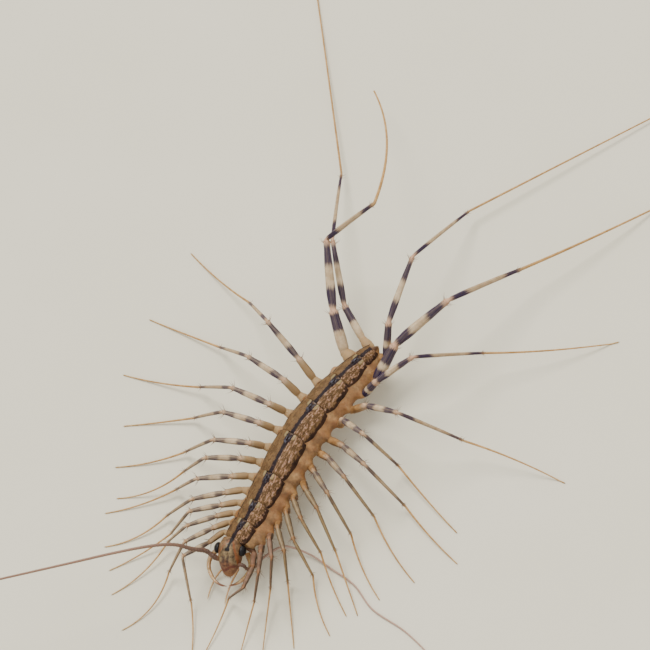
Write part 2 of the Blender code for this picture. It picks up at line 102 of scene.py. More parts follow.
# Half of the soft trunk the same way: half width, height, and how far the flanks swell there
SKIN_SECTION = np.array((
    (0.00, 0.90, 0.0), (0.34, 0.87, 0.0), (0.60, 0.76, 0.0), (0.75, 0.64, 0.2),
    (0.81, 0.54, 0.5), (0.84, 0.43, 0.9), (0.85, 0.30, 1.2), (0.81, 0.17, 1.2),
    (0.66, 0.05, 0.7), (0.38, 0.00, 0.1), (0.00, -0.02, 0.0)))
SKIN_SWELL = {1: 1.25, -1: 0.62}      # of the flank, on the left and on the right
SWELL_BETWEEN = 0.74          # share of that swelling between two legs
SWELL_AT_LEG = 0.36           # and what each leg adds to it
SWELL_SPREAD = 0.46875
BELLY_FOLD = 0.04             # depth of the folds between the legs
SKIN_FRONT = -0.10
SKIN_REAR = 0.35              # length of the telson behind the last plate
SKIN_ROUND_FRONT = 0.6        # length over which the trunk closes at its ends
SKIN_ROUND_REAR = 1.5
SKIN_BLUNT = 0.6              # the smaller, the blunter the tail
SKIN_MIDDLE = 0.42            # height that it closes to, as a share of its own
SKIN_SHOULDER = 1.6           # length over which the swelling starts and ends
SKIN_SEGMENTS = 72
SKIN_RINGS = 300
STOMA_FROM_REAR = 0.42
STOMA_WIDE = 0.36
STOMA_LONG = 0.50
STOMA_HIGH = 0.13
STOMA_SLIT = 0.05
SLIT_DEEP = 1.3               # depth and length of the slit as shares of the rim's
SLIT_LONG = 0.7
NO_STOMA = 5.0                # distance that the last plate gives its material instead

# Head, measured along its own axis from the neck
HEAD_TURN = 20.0
HEAD_ASIDE = 0.2
HEAD_CORNER = Vector((0.3558424, -16.6571426, 0.0))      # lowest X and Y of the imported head
HEAD_FORM = np.array((        # distance, half width, top, bottom, with a collar behind the neck
    (-0.32, 0.84, 4.34, 3.05),
    (-0.12, 1.04, 4.50, 2.75),
    (0.22, 1.15, 4.68, 2.45),
    (0.60, 1.20, 4.84, 2.25),
    (1.20, 1.18, 4.84, 2.15),
    (1.80, 1.20, 4.62, 2.10),
    (2.38, 1.10, 4.22, 2.10),
    (2.90, 0.84, 3.74, 2.15),
    (3.30, 0.58, 3.34, 2.25),
    (3.60, 0.30, 3.00, 2.40),
))
HEAD_MESH = (72, 64)          # segments and rings
CROWN_HAIRS = 70
LIP_HAIRS = 34
EYE_AT = 1.00
EYE_HEIGHT = 3.88
EYE_LENGTH = 1.20
EYE_TALL = 0.92
EYE_DEPTH = 0.42
EYE_OUT = 0.30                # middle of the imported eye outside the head's flank
EYE_BACK = 0.6                # depth of the eye's hidden half as a share of its dome
EYE_LEAN = 0.10               # how far its top leans inwards, as a share of the height
EYE_MESH = (40, 32)

# Legs: lengths grow with the square of the distance from the third pair
LEG_PAIRS = 15
STATION_FIRST = 0.50
STATION_STEPS = (1.02, 0.075, -0.0017)
ROOT_HEIGHT = 3.12
FRONT_ROOT_DROP = 0.07
FRONT_SLIM = 0.03
FRONT_COXA = 0.07
THICKEN = 0.014
COXA = 1.20
COXA_SWEEP = 0.25
REAR_SWEEP = {14: 0.0, 15: 0.38}
COXA_SUNK = 0.55              # how far the coxa's root reaches into the trunk
FLANK_SHARE = 0.86
FLANK_GAP = 0.3
LIMB_RULES = (                # length, its growth, and what the last pairs have besides
    (1.85, 0.012, {14: 1.2, 15: 0.5}),      # prefemur
    (3.5, 0.020, {14: 1.6, 15: 1.0}),       # femur
    (5.4, 0.028, {}),                       # tibia
    (7.5, 0.045, {14: 6.0, 15: 18.0}),      # tarsus
)
REAR_THICKNESS = {14: 1.35, 15: 0.95}
TOE_HEIGHT = 0.06
STUMP = ("right", 13)
STUMP_LENGTH = 0.6            # of its coxa, the rest of which is lost with the leg
TARSUS_DOWN_AT = 0.93
TARSUS_SAG = {"right": 1.7, "left": 0.9}
LIMB_BOW = 0.012              # bow of each limb piece as a share of its length
LIMB_SIDES = 16
CORNER_PASSES = 3             # smoothing of the bends at the joints
END_CAP = 0.02                # from a limb's last ring to its closing point
# Rings along each piece of a leg: share of its length and radius
COXA_RINGS = ((0.00, 0.46), (0.20, 0.53), (0.45, 0.54), (0.66, 0.49), (0.80, 0.43),
              (0.87, 0.39), (0.91, 0.39), (0.97, 0.38), (1.00, 0.34))
PREFEMUR_RINGS = ((0.03, 0.34), (0.10, 0.38), (0.30, 0.40), (0.60, 0.37), (0.84, 0.34),
                  (0.93, 0.35), (0.97, 0.32), (1.00, 0.25))
FEMUR_RINGS = ((0.02, 0.23), (0.06, 0.28), (0.25, 0.33), (0.60, 0.29), (0.88, 0.23),
               (0.96, 0.24), (0.985, 0.21), (1.00, 0.16))
TIBIA_RINGS = ((0.01, 0.14), (0.04, 0.17), (0.20, 0.18), (0.60, 0.155), (0.92, 0.13),
               (0.97, 0.14), (0.99, 0.12), (1.00, 0.10))
PIECE_RINGS = (COXA_RINGS, PREFEMUR_RINGS, FEMUR_RINGS, TIBIA_RINGS)
KEELS = (0.00, 0.02, 0.06, 0.10)      # depth of the keels on coxa, prefemur, femur and tibia
RING_STEP = 0.22
# Prefemur, femur and tibia: spurs at the far joint, their size, and space between the spines
LEG_SPINES = ((10, 1.0, 0.42), (12, 1.0, 0.34), (8, 0.6, 0.32))
SPINE_ROWS = 5
TARSUS_RADII = (0.115, 0.055)
TARSUS_ARTICLE = 0.30         # length of one of the tarsus's many rings
ARTICLE_SWELL = 0.16
CLAW = (0.22, 0.035)          # length and radius
CLAW_SUNK = 0.03
# Dark bands: start and end, counted in limb pieces from the root, strength on pale legs and on
# legs of full tone, and the tone from which a leg has the band
LEG_BANDS = ((1.50, 1.92, 0.95, 0.95, 0.88), (2.05, 2.31, 0.80, 0.97, 0.0),
             (2.62, 2.91, 0.80, 0.97, 0.0), (3.04, 3.26, 0.60, 0.95, 0.0),
             (3.20, 3.80, 0.22, 0.12, 0.0), (3.76, 3.96, 0.40, 0.92, 0.0))
# Each leg's pose: swing of prefemur, femur, tibia and tarsus from straight out, positive towards
# the head; heights of their joints; bend of the tarsus; its length as a share of the rule's
POSE = {
    "right": (
        ((69, 74, 118, 119), (3.0, 5.0, 0.9), 17, 1.03), ((58, 69, 62, 79), (3.5, 5.2, 1.0), 50, 1.03),
        ((48, 60, 34, 70), (3.58, 5.32, 1.1), 28, 1.08), ((46, 52, 45, 56), (3.66, 5.44, 1.2), 8, 1.03),
        ((42, 46, 35, 53), (3.49, 4.56, 0.7), 35, 0.97), ((43, 37, 23, 44), (4.24, 5.21, 0.88), 15, 1.04),
        ((36, 40, 27, 43), (4.61, 6.8, 2.3), 25, 1.03), ((41, 22, 26, 38), (4.92, 4.92, 0.7), 15, 0.92),
        ((27, 11, 17, 32), (5.06, 5.04, 0.7), 0, 0.87), ((19, 5, 10, 16), (5.14, 5.37, 1.15), 8, 0.95),
        ((-11, -4, -2, 5), (5.22, 5.46, 0.9), 0, 0.88), ((-24, -20, -18, -12), (5.04, 7.4, 2.16), 10, 0.93),
        ((-30, 0, 0, 0), (4.38, 6.52, 2.1), 0, 1.03), ((-47, -56, -138, -48), (4.9, 6.9, 12.4), -33, 1.03),
        ((-31, -49, -57, -49), (3.7, 4.63, 1.26), 0, 1.03),
    ),
    "left": (
        ((56, 65, 159, 85), (3.4, 5.5, 0.9), -12, 0.9), ((44, 50, 110, 77), (4.18, 6.16, 1.31), 0, 0.81),
        ((39, 40, 102, 68), (4.43, 6.4, 1.51), 0, 0.98), ((43, 37, 92, 53), (4.43, 5.75, 0.7), 0, 0.93),
        ((36, 39, 42, 43), (4.64, 5.62, 0.7), 25, 0.87), ((37, 31, 41, 38), (4.79, 6.75, 1.54), 12, 0.9),
        ((30, 25, 47, 41), (4.5, 6.4, 1.5), 0, 0.86), ((23, 25, 38, 36), (4.85, 6.46, 1.14), 20, 0.88),
        ((9, 19, 26, 28), (4.69, 6.52, 0.83), 18, 0.92), ((3, 13, 14, 18), (4.39, 6.14, 0.8), 10, 0.87),
        ((-11, 10, 3, 19), (5.59, 8.12, 1.29), 5, 0.92), ((-23, -6, -13, -8), (5.03, 7.44, 3.0), -10, 1.01),
        ((-45, -48, -46, -37), (5.43, 8.07, 3.26), 10, 1.15),
        ((-83, -62, -63, -59), (4.99, 7.04, 3.52), 5, 0.9),
        ((-106, -100, -86, -57), (5.6, 6.4, 1.5), 0, 0.9),
    ),
}
RAISED_TOES = {("right", 14): 3.0}   # height of a foot that doesn't stand

# Feelers and mouthparts: listed routes, the first point in the head or neck
ANTENNA_RIGHT = ((1.10, -15.52, 3.72), (0.66, -15.62, 3.95), (0.20, -15.60, 4.35),
                 (-0.32, -15.62, 4.80), (-1.16, -16.20, 5.70), (-2.70, -17.00, 7.20), (-4.60, -18.60, 8.20),
                 (-7.40, -21.20, 8.90), (-10.40, -24.00, 9.30), (-16.40, -29.40, 9.80),
                 (-21.50, -33.60, 9.60), (-26.00, -36.80, 8.80))
ANTENNA_LEFT = ((2.98, -15.04, 3.32), (3.66, -14.90, 3.52), (4.02, -14.93, 2.90), (4.22, -14.20, 2.12),
                (4.35, -12.80, 1.65), (5.40, -10.80, 1.15), (7.90, -10.15, 0.45),
                (10.80, -10.35, 0.20), (14.00, -10.70, 0.16), (17.20, -12.00, 0.14),
                (21.70, -12.40, 0.12), (26.50, -13.70, 0.10), (31.00, -15.40, 0.08))
FORCIPULE_RIGHT = ((0.68, -13.50, 2.00), (-0.40, -14.45, 1.92), (-0.80, -15.45, 1.75),
                   (-0.60, -16.35, 1.55), (0.02, -17.00, 1.42), (0.80, -17.42, 1.32),
                   (1.60, -17.52, 1.26), (2.34, -17.32, 1.20))
FORCIPULE_LEFT = ((2.60, -13.35, 1.95), (3.42, -14.10, 1.62), (3.66, -14.90, 1.48),
                  (3.58, -15.60, 1.42), (3.34, -16.25, 1.35), (2.94, -16.80, 1.28),
                  (2.44, -17.18, 1.20))
PALP_RIGHT = ((1.45, -14.90, 1.52), (0.75, -15.80, 1.00), (0.35, -16.80, 0.50),
              (0.42, -18.10, 0.36), (0.75, -19.40, 0.26))
PALP_LEFT = ((2.50, -15.20, 1.52), (2.30, -16.10, 0.90), (2.25, -17.10, 0.48),
             (2.45, -18.10, 0.36), (2.75, -19.00, 0.26))
# Radius along each kind of feeler: share of the length and radius
ANTENNA_RADII = ((0.00, 0.24), (0.012, 0.29), (0.03, 0.27), (0.035, 0.22), (0.04, 0.26),
                 (0.08, 0.23), (0.15, 0.18), (0.30, 0.145), (0.60, 0.12), (0.90, 0.085),
                 (1.00, 0.05))
ANTENNA_LEFT_SLIM = 0.72      # the trailing feeler's thickness as a share of the raised one's
FORCIPULE_RADII = ((0.00, 0.26), (0.10, 0.30), (0.30, 0.27), (0.34, 0.23), (0.38, 0.25),
                   (0.55, 0.22), (0.58, 0.19), (0.62, 0.21), (0.78, 0.16), (0.92, 0.10),
                   (1.00, 0.02))
PALP_RADII = ((0.00, 0.13), (0.20, 0.12), (0.24, 0.09), (0.28, 0.11), (0.50, 0.095),
              (0.54, 0.07), (0.58, 0.09), (0.90, 0.07), (1.00, 0.03))
FEELER_SIDES = 12
ANTENNA_ARTICLE = 0.34        # length of one ring of each kind, and how many hairs it has
ANTENNA_HAIRS = 240
FORCIPULE_ARTICLE = 0.16
FORCIPULE_HAIRS = 40
PALP_ARTICLE = 0.20
PALP_HAIRS = 70

# Bristles of each kind: the shortest, the longest and their radius
RIM_SPINE = (0.10, 0.18, 0.016)
PLATE_HAIR = (0.08, 0.16, 0.012)
CROWN_HAIR = (0.07, 0.15, 0.010)
LIP_HAIR = (0.20, 0.42, 0.012)
FEELER_HAIR = (0.10, 0.20, 0.010)
SPUR = (0.45, 0.95, 0.026)
LEG_SPINE = (0.10, 0.22, 0.012)
TARSUS_HAIR = (0.10, 0.20, 0.009)
HAIR_SUNK = 0.01              # how far a hair's root reaches in
SPINE_BEND = 0.18             # of a bristle's length, at its tip

# From the animal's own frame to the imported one
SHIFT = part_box("head")[0] / MM - HEAD_CORNER
SHIFT.z = 0.0

# Camera and light
TILT_TO_LEFT = 25.0           # the camera leans this far to the animal's left
TILT_TO_HEAD = 10.0
PICTURE_TURN = 33.0           # the picture's upward direction from +Y, towards -X
PICTURE_MIDDLE = Vector((-2.98, 11.44, 3.41))
PICTURE_WIDTH = 67.94
CAMERA_AWAY = 600.0
SENSOR = 36.0
LIGHT_FROM = Vector((-0.513, 0.451, 1.0))
LIGHT_SPREAD = 26.0
SUN_STRENGTH = 3.1
SUN_COLOUR = (1.0, 0.96, 0.90)
SKY_STRENGTH = 1.17
SKY_COLOUR = (1.0, 0.985, 0.955)
FAR = 9.0                     # beyond every number that a material reads


def curve_point(a, b, c, d, t):
    """Point at t, from 0 at b to 1 at c, of the smooth curve through all four."""
    return 0.5 * (2 * b + (c - a) * t + (2 * a - 5 * b + 4 * c - d) * t ** 2
                  + (3 * b - a - 3 * c + d) * t ** 3)


def row_at(rows, position):
    """Row of a table at a position counted in rows, smoothly between its entries."""
    index = min(int(position), len(rows) - 2)
    near = [rows[min(max(index + step, 0), len(rows) - 1)] for step in (-1, 0, 1, 2)]
    return curve_point(*near, position - index)


class Route:
    """A smooth curve through the points that can be read at any distance from its start."""

    def __init__(self, points):
        knots = [Vector(point) for point in points]
        knots = [2 * knots[0] - knots[1]] + knots + [2 * knots[-1] - knots[-2]]
        self.points = [curve_point(*near, step / ROUTE_STEPS)
                       for near in zip(knots, knots[1:], knots[2:], knots[3:])
                       for step in range(ROUTE_STEPS)]
        self.points.append(knots[-2])
        self.marks = [0.0]
        for a, b in zip(self.points, self.points[1:]):
            self.marks.append(self.marks[-1] + (b - a).length)
        self.length = self.marks[-1]

    def at(self, distance):
        distance = min(max(distance, 0.0), self.length)
        index = max(int(np.searchsorted(self.marks, distance)), 1)
        before, after = self.marks[index - 1:index + 1]
        part = (distance - before) / (after - before)
        return self.points[index - 1].lerp(self.points[index], part)

    def direction(self, distance, reach=0.05):
        return (self.at(distance + reach) - self.at(distance - reach)).normalized()


spine = Route([(x, y, 0.0) for x, y in SPINE])


def trunk_frame(distance):
    """Place and leftward direction of the trunk's centre line at floor level."""
    held = min(max(distance, 0.0), spine.length)
    back = spine.direction(held)
    return spine.at(held) + back * (distance - held), Vector((back.y, -back.x, 0.0))


def rolled(place, left, sideways, height):
    """Point of a cross-section after the trunk's roll about its own axis."""
    angle = math.radians(TRUNK_ROLL)
    rise = height - ROLL_HEIGHT
    across = sideways * math.cos(angle) - rise * math.sin(angle)
    level = ROLL_HEIGHT + sideways * math.sin(angle) + rise * math.cos(angle)
    return place + left * across + UP * level


def half_width(distance):
    """Half width of the plates at this distance from the neck."""
    if distance < WIDEST_AT:
        return PLATE_HALF_WIDTH * (1 - NECK_SHRINK * (1 - distance / WIDEST_AT) ** 2)
    tail = (distance - WIDEST_AT) / (PLATE_ENDS[-1] - WIDEST_AT)
    return PLATE_HALF_WIDTH * (1 - TAIL_SHRINK * tail ** 2)


def heights(distance):
    """Top of the back and bottom of the belly at this distance from the neck."""
    middle = PLATE_ENDS[-1] / 2
    bow = ((distance - middle) / middle) ** 2
    return BACK_HEIGHT - BACK_DROP * bow, BELLY_HEIGHT + BELLY_RISE * bow


HEAD_AHEAD = Matrix.Rotation(math.radians(HEAD_TURN), 3, "Z") @ Vector((0.0, -1.0, 0.0))
HEAD_LEFT = Vector((-HEAD_AHEAD.y, HEAD_AHEAD.x, 0.0))
NECK = trunk_frame(0.0)[0] - trunk_frame(0.0)[1] * HEAD_ASIDE


def head_point(distance, sideways, height):
    """Point in the head's own frame: forward from the neck, leftward, and height."""
    return NECK + HEAD_AHEAD * distance + HEAD_LEFT * sideways + UP * height


def rounded(value, power):
    return math.copysign(abs(value) ** power, value)


def between(table, share):
    """Read a table of (share, value) with eased steps from one entry to the next."""
    for (a, low), (b, high) in zip(table, table[1:]):
        if share <= b:
            part = (share - a) / (b - a)
            part = part * part * (3 - 2 * part)
            return low + (high - low) * part
    return table[-1][1]


def bump(value, middle, spread):
    return math.exp(-((value - middle) / spread) ** 2)


def deselect():
    bpy.ops.object.select_all(action="DESELECT")


def mark(thing, **numbers):
    """Give the corners of a mesh numbers that its material reads, one for each or one for all."""
    for name, values in numbers.items():
        attribute = thing.data.attributes.new(name, "FLOAT", "POINT")
        values = np.broadcast_to(np.asarray(values, np.float32), len(thing.data.vertices))
        attribute.data.foreach_set("value", np.ascontiguousarray(values))


def close_up():
    """Merge the seam and poles of the active mesh and turn its faces outwards."""
    bpy.ops.object.mode_set(mode="EDIT")
    bpy.ops.mesh.select_all(action="SELECT")
    bpy.ops.mesh.remove_doubles(threshold=MERGE)
    bpy.ops.mesh.normals_make_consistent(inside=False)
    bpy.ops.object.mode_set(mode="OBJECT")


def corners_of(thing):
    corners = np.zeros(len(thing.data.vertices) * 3)
    thing.data.vertices.foreach_get("co", corners)
    return corners.reshape(-1, 3)


def hand_over(thing, name, finish, nodes, hairs=()):
    """Dress a finished piece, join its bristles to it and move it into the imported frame."""
    deselect()
    thing.select_set(True)
    bpy.context.view_layer.objects.active = thing
    thing.data.materials.append(finish)
    if hairs:
        coat = bristles(hairs)
        coat.data.materials.append(BRISTLE)
        coat.select_set(True)
        bpy.ops.object.join()
    thing.name = name
    thing.data.name = name
    thing.data.transform(Matrix.Translation(SHIFT * MM))
    bpy.ops.object.shade_smooth_by_angle(angle=math.radians(SMOOTH_BELOW))
    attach(thing, "root")
    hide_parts(*nodes)


def shaped(thing, shares, place):
    """Move each corner of a mesh to where place says for its two shares, both from 0 to 1."""
    for corner, (one, two) in zip(thing.data.vertices, shares):
        corner.co = place(float(one), float(two)) * MM
    return thing


def shaped_grid(columns, rows, place):
    """Sheet of faces, shaped by its shares across and along."""
    deselect()
    bpy.ops.mesh.primitive_grid_add(x_subdivisions=columns, y_subdivisions=rows, size=1.0)
    sheet = bpy.context.object
    return shaped(sheet, corners_of(sheet)[:, :2] + 0.5, place)


def shaped_ball(segments, rings, place):
    """Closed skin, shaped by its shares along from pole to pole and round the axis."""
    deselect()
    bpy.ops.mesh.primitive_uv_sphere_add(segments=segments, ring_count=rings, radius=1.0)
    ball = bpy.context.object
    x, y, z = corners_of(ball).T
    along = np.arccos(np.clip(z, -1.0, 1.0)) / math.pi
    return shaped(ball, zip(along, (np.arctan2(y, x) / (2 * math.pi)) % 1.0), place)


def limb(rings, sides, **marks):
    """Tube with a ring of corners at each (point, radius, along, keel) of the list.

    Further marks give one number for each ring.
    """
    deselect()
    bpy.ops.curve.primitive_nurbs_path_add()
    path = bpy.context.object
    curve = path.data
    curve.splines.clear()
    line = curve.splines.new("POLY")
    line.points.add(len(rings) - 1)
    for knot, (point, radius, _, _) in zip(line.points, rings):
        knot.co = (*(point * MM), 1.0)
        knot.radius = radius
    curve.dimensions = "3D"
    curve.twist_mode = "Z_UP"
    curve.bevel_depth = MM
    curve.bevel_resolution = (sides - 4) // 2
    bpy.ops.object.convert(target="MESH")
    tube = bpy.context.object
    corners = corners_of(tube).reshape(len(rings), sides, 3)
    centres = np.array([ring[0] for ring in rings]) * MM
    ahead = np.gradient(centres, axis=0)
    ahead /= np.linalg.norm(ahead, axis=1)[:, None]
    above = np.array(UP) - ahead * ahead[:, 2:3]
    above /= np.linalg.norm(above, axis=1)[:, None]
    beside = np.cross(ahead, above)
    outward = corners - centres[:, None, :]
    high = np.einsum("rsk,rk->rs", outward, above)
    wide = np.einsum("rsk,rk->rs", outward, beside)
    turn = np.arctan2(wide, high)
    keels = np.array([ring[3] for ring in rings])[:, None]
    outward *= (1 + keels * np.cos(5 * turn))[:, :, None]
    tube.data.vertices.foreach_set("co", (centres[:, None, :] + outward).ravel())
    mark(tube, along=np.repeat([ring[2] for ring in rings], sides),
         above=np.cos(turn).ravel(), beside=np.sin(turn).ravel(),
         **{name: np.repeat(values, sides) for name, values in marks.items()})
    close_up()
    return tube


def with_ends(rings):
    """Close a limb's rings with a point just past either end."""
    closed = []
    for end, inner in ((rings[0], rings[1]), (rings[-1], rings[-2])):
        out = (end[0] - inner[0]).normalized()
        closed.append((end[0] + out * END_CAP, 0.0, end[2], 0.0))
    return [closed[0]] + rings + [closed[1]]


def spine_form():
    """One bent, pointed bristle of unit length, as arrays of its corners and faces."""
    deselect()
    bpy.ops.mesh.primitive_cone_add(vertices=5, radius1=1.0, radius2=0.0, depth=1.0,
                                    location=(0.0, 0.0, 0.5), end_fill_type="NGON")
    bpy.ops.object.transform_apply(location=True)
    cone = bpy.context.object
    bpy.ops.object.mode_set(mode="EDIT")
    bpy.ops.mesh.select_all(action="SELECT")
    bpy.ops.mesh.bisect(plane_co=(0.0, 0.0, 0.5), plane_no=(0.0, 0.0, 1.0))
    bpy.ops.object.mode_set(mode="OBJECT")
    corners = corners_of(cone)
    faces = [list(face.vertices) for face in cone.data.polygons]
    bpy.data.objects.remove(cone)
    return corners, faces


SPINE_CORNERS, SPINE_FACES = spine_form()


def grown(draw, kind):
    """Length and radius of one bristle of this kind."""
    shortest, longest, radius = kind
    return draw.uniform(shortest, longest), radius


def bristles(places):
    """Joined mesh of bristles from (root, direction, length, radius, bend) places."""
    corners = []
    faces = []
    for root, direction, length, radius, bend in places:
        ahead = direction.normalized()
        lean = bend - ahead * bend.dot(ahead)
        lean = lean.normalized() if lean.length > 0.01 else ahead.orthogonal().normalized()
        beside = ahead.cross(lean)
        start = len(corners)
        for x, y, z in SPINE_CORNERS:
            corner = root + ahead * (z * length) + lean * (x * radius + SPINE_BEND * length * z * z)
            corners.append((corner + beside * (y * radius)) * MM)
        faces += [[start + index for index in face] for face in SPINE_FACES]
    mesh = bpy.data.meshes.new("bristles")
    mesh.from_pydata(corners, [], faces)
    thing = bpy.data.objects.new("bristles", mesh)
    bpy.context.scene.collection.objects.link(thing)
    return thing


# Finishes

class Value:
    """What a node puts out, such as a number over the surface, to be reckoned with."""

    def __init__(self, socket):
        self.socket = socket

    def reckon(self, operation, first, second):
        return value_of(self.socket.id_data, "ShaderNodeMath", {0: first, 1: second},
                        operation=operation)

    def __add__(self, other):
        return self.reckon("ADD", self, other)

    def __sub__(self, other):
        return self.reckon("SUBTRACT", self, other)

    def __rsub__(self, other):
        return self.reckon("SUBTRACT", other, self)

    def __mul__(self, other):
        return self.reckon("MULTIPLY", self, other)

    def __abs__(self):
        return self.reckon("ABSOLUTE", self, 0.0)

    def most(self, other):
        return self.reckon("MAXIMUM", self, other)

    def spread(self, low, high, to_low=0.0, to_high=1.0, steps="LINEAR"):
        """The value's way from low to high as a way from to_low to to_high."""
        return value_of(self.socket.id_data, "ShaderNodeMapRange", {
            "Value": self, "From Min": low, "From Max": high, "To Min": to_low,
            "To Max": to_high}, interpolation_type=steps)

    def within(self, start, end, soft):
        """1 where the value is from start to end and 0 elsewhere, with soft ends."""
        return value_of(self.socket.id_data, "ShaderNodeGroup", {
            "Value": self, "Start": start, "End": end, "Soft": soft}, node_tree=BAND)

    def below(self, end, soft):
        return self.within(-FAR, end, soft)

    def above(self, start, soft):
        return self.within(start, FAR, soft)


def feed(socket, value):
    """Set a socket to a number or colour, or link it to what another node puts out."""
    if isinstance(value, Value):
        socket.id_data.links.new(value.socket, socket)
    else:
        socket.default_value = value


def node(tree, kind, inputs=(), **settings):
    """Add a node, set it up and feed its inputs by name or number."""
    fresh = tree.nodes.new(kind)
    for key, value in settings.items():
        setattr(fresh, key, value)
    for key, value in dict(inputs).items():
        feed(fresh.inputs[key], value)
    return fresh


def value_of(tree, kind, inputs=(), output=0, **settings):
    return Value(node(tree, kind, inputs, **settings).outputs[output])


def colour(red, green, blue):
    """Linear colour from the 0 to 255 values of a picture."""
    values = [value / 255 for value in (red, green, blue)]
    linear = [value / 12.92 if value <= 0.04045 else ((value + 0.055) / 1.055) ** 2.4
              for value in values]
    return (*linear, 1.0)


def mixed(amount, first, second):
    """Mix two colours, each a Value or red, green and blue, by an amount from 0 to 1."""
    first, second = [tint if isinstance(tint, Value) else colour(*tint)
                     for tint in (first, second)]
    return value_of(amount.socket.id_data, "ShaderNodeMix", {0: amount, 6: first, 7: second},
                    output=2, data_type="RGBA")


def noise(place, scale, detail, roughness=0.5):
    return value_of(place.socket.id_data, "ShaderNodeTexNoise", {
        "Vector": place, "Scale": scale, "Detail": detail, "Roughness": roughness})


def place_from(x, y, z=0.0):
    """Place in a texture from three numbers."""
    return value_of(x.socket.id_data, "ShaderNodeCombineXYZ", {0: x, 1: y, 2: z})


def new_group(name, inputs, outputs):
    """Node group with its inputs as Values, and the node that takes its outputs."""
    group = bpy.data.node_groups.new(name, "ShaderNodeTree")
    for label, kind in inputs:
        group.interface.new_socket(label, in_out="INPUT", socket_type=f"NodeSocket{kind}")
    for label in outputs:
        group.interface.new_socket(label, in_out="OUTPUT", socket_type="NodeSocketFloat")
    taken, given = group.nodes.new("NodeGroupInput"), group.nodes.new("NodeGroupOutput")
    return group, given, [Value(socket) for socket in taken.outputs[:len(inputs)]]


def make_band():
    """Group: 1 between Start and End of a value, with soft ends, and 0 elsewhere."""
    group, given, (value, start, end, soft) = new_group(
        "band", [(label, "Float") for label in ("Value", "Start", "End", "Soft")], ("Mask",))
    rise, fall = [value.spread(edge - soft, edge + soft, steps="SMOOTHSTEP")
                  for edge in (start, end)]
    feed(given.inputs[0], rise - fall)
    return group


def make_cuticle():
    """Group: cloudy mottling, fine specks and the height of a grained, pitted cuticle."""
    group, given, (place, mottle_scale, grain_scale) = new_group(
        "cuticle", (("Place", "Vector"), ("Mottle Scale", "Float"), ("Grain Scale", "Float")),
        ("Mottle", "Specks", "Height"))
    clouds = noise(place, mottle_scale, 5.0, 0.6)
    grain = noise(place, grain_scale, 3.0, 0.55)
    pits = value_of(group, "ShaderNodeTexVoronoi", {"Vector": place, "Scale": grain_scale * 0.6},
                    output="Distance")
    feed(given.inputs[0], clouds.spread(0.36, 0.66))
    feed(given.inputs[1], grain.spread(0.58, 0.70))
    feed(given.inputs[2], pits * 0.6 + grain * 0.8)
    return group


BAND = make_band()
CUTICLE = make_cuticle()


class Paint:
    """A material in the making: its ground colour is covered by one layer after another.

    With scales, of the mottling and the grain, it stands on the shared cuticle, and its ground
    is mottled in the two tints. Steady values of the shader follow by name.
    """

    def __init__(self, name, scales=None, tints=None, **steady):
        self.material = bpy.data.materials.new(name)
        self.material.use_nodes = True
        self.tree = self.material.node_tree
        self.shader = self.tree.nodes["Principled BSDF"]
        self.place = value_of(self.tree, "ShaderNodeTexCoord", output="Object")
        self.set(**steady)
        if scales:
            group = node(self.tree, "ShaderNodeGroup", node_tree=CUTICLE)
            for socket, value in zip(group.inputs, (self.place, *scales)):
                feed(socket, value)
            self.mottle, self.specks, self.height = [Value(socket) for socket in group.outputs]
            self.ground = mixed(self.mottle, *tints)

    def set(self, **values):
        """Set the shader's inputs, with an underline for each space in their names."""
        for label, value in values.items():
            feed(self.shader.inputs[label.replace("_", " ")], value)

    def read(self, *names):
        """The numbers that the mesh's corners carry under these names."""
        return [value_of(self.tree, "ShaderNodeAttribute", output="Fac", attribute_name=name)
                for name in names]

    def cover(self, amount, tint, other=None, by=None):
        """Lay a tint over the ground, or two of them mixed by the mottling or another value."""
        if other:
            tint = mixed(by or self.mottle, tint, other)
        self.ground = mixed(amount, self.ground, tint)

    def done(self, roughness, bumps=None, glow=None, glow_tint=(1.0, 0.45, 0.2)):
        """Finish it with its bumps (depth in metres, strength) and the light that passes
        through its outer layer (weight, reach in metres), as through thin horn."""
        self.set(Base_Color=self.ground, Roughness=roughness)
        if bumps:
            depth, strength = bumps
            self.set(Normal=value_of(self.tree, "ShaderNodeBump", {
                "Height": self.height, "Distance": depth, "Strength": strength}))
        if glow:
            weight, reach = glow
            self.set(Subsurface_Weight=weight, Subsurface_Scale=reach,
                     Subsurface_Radius=glow_tint)
        return self.material


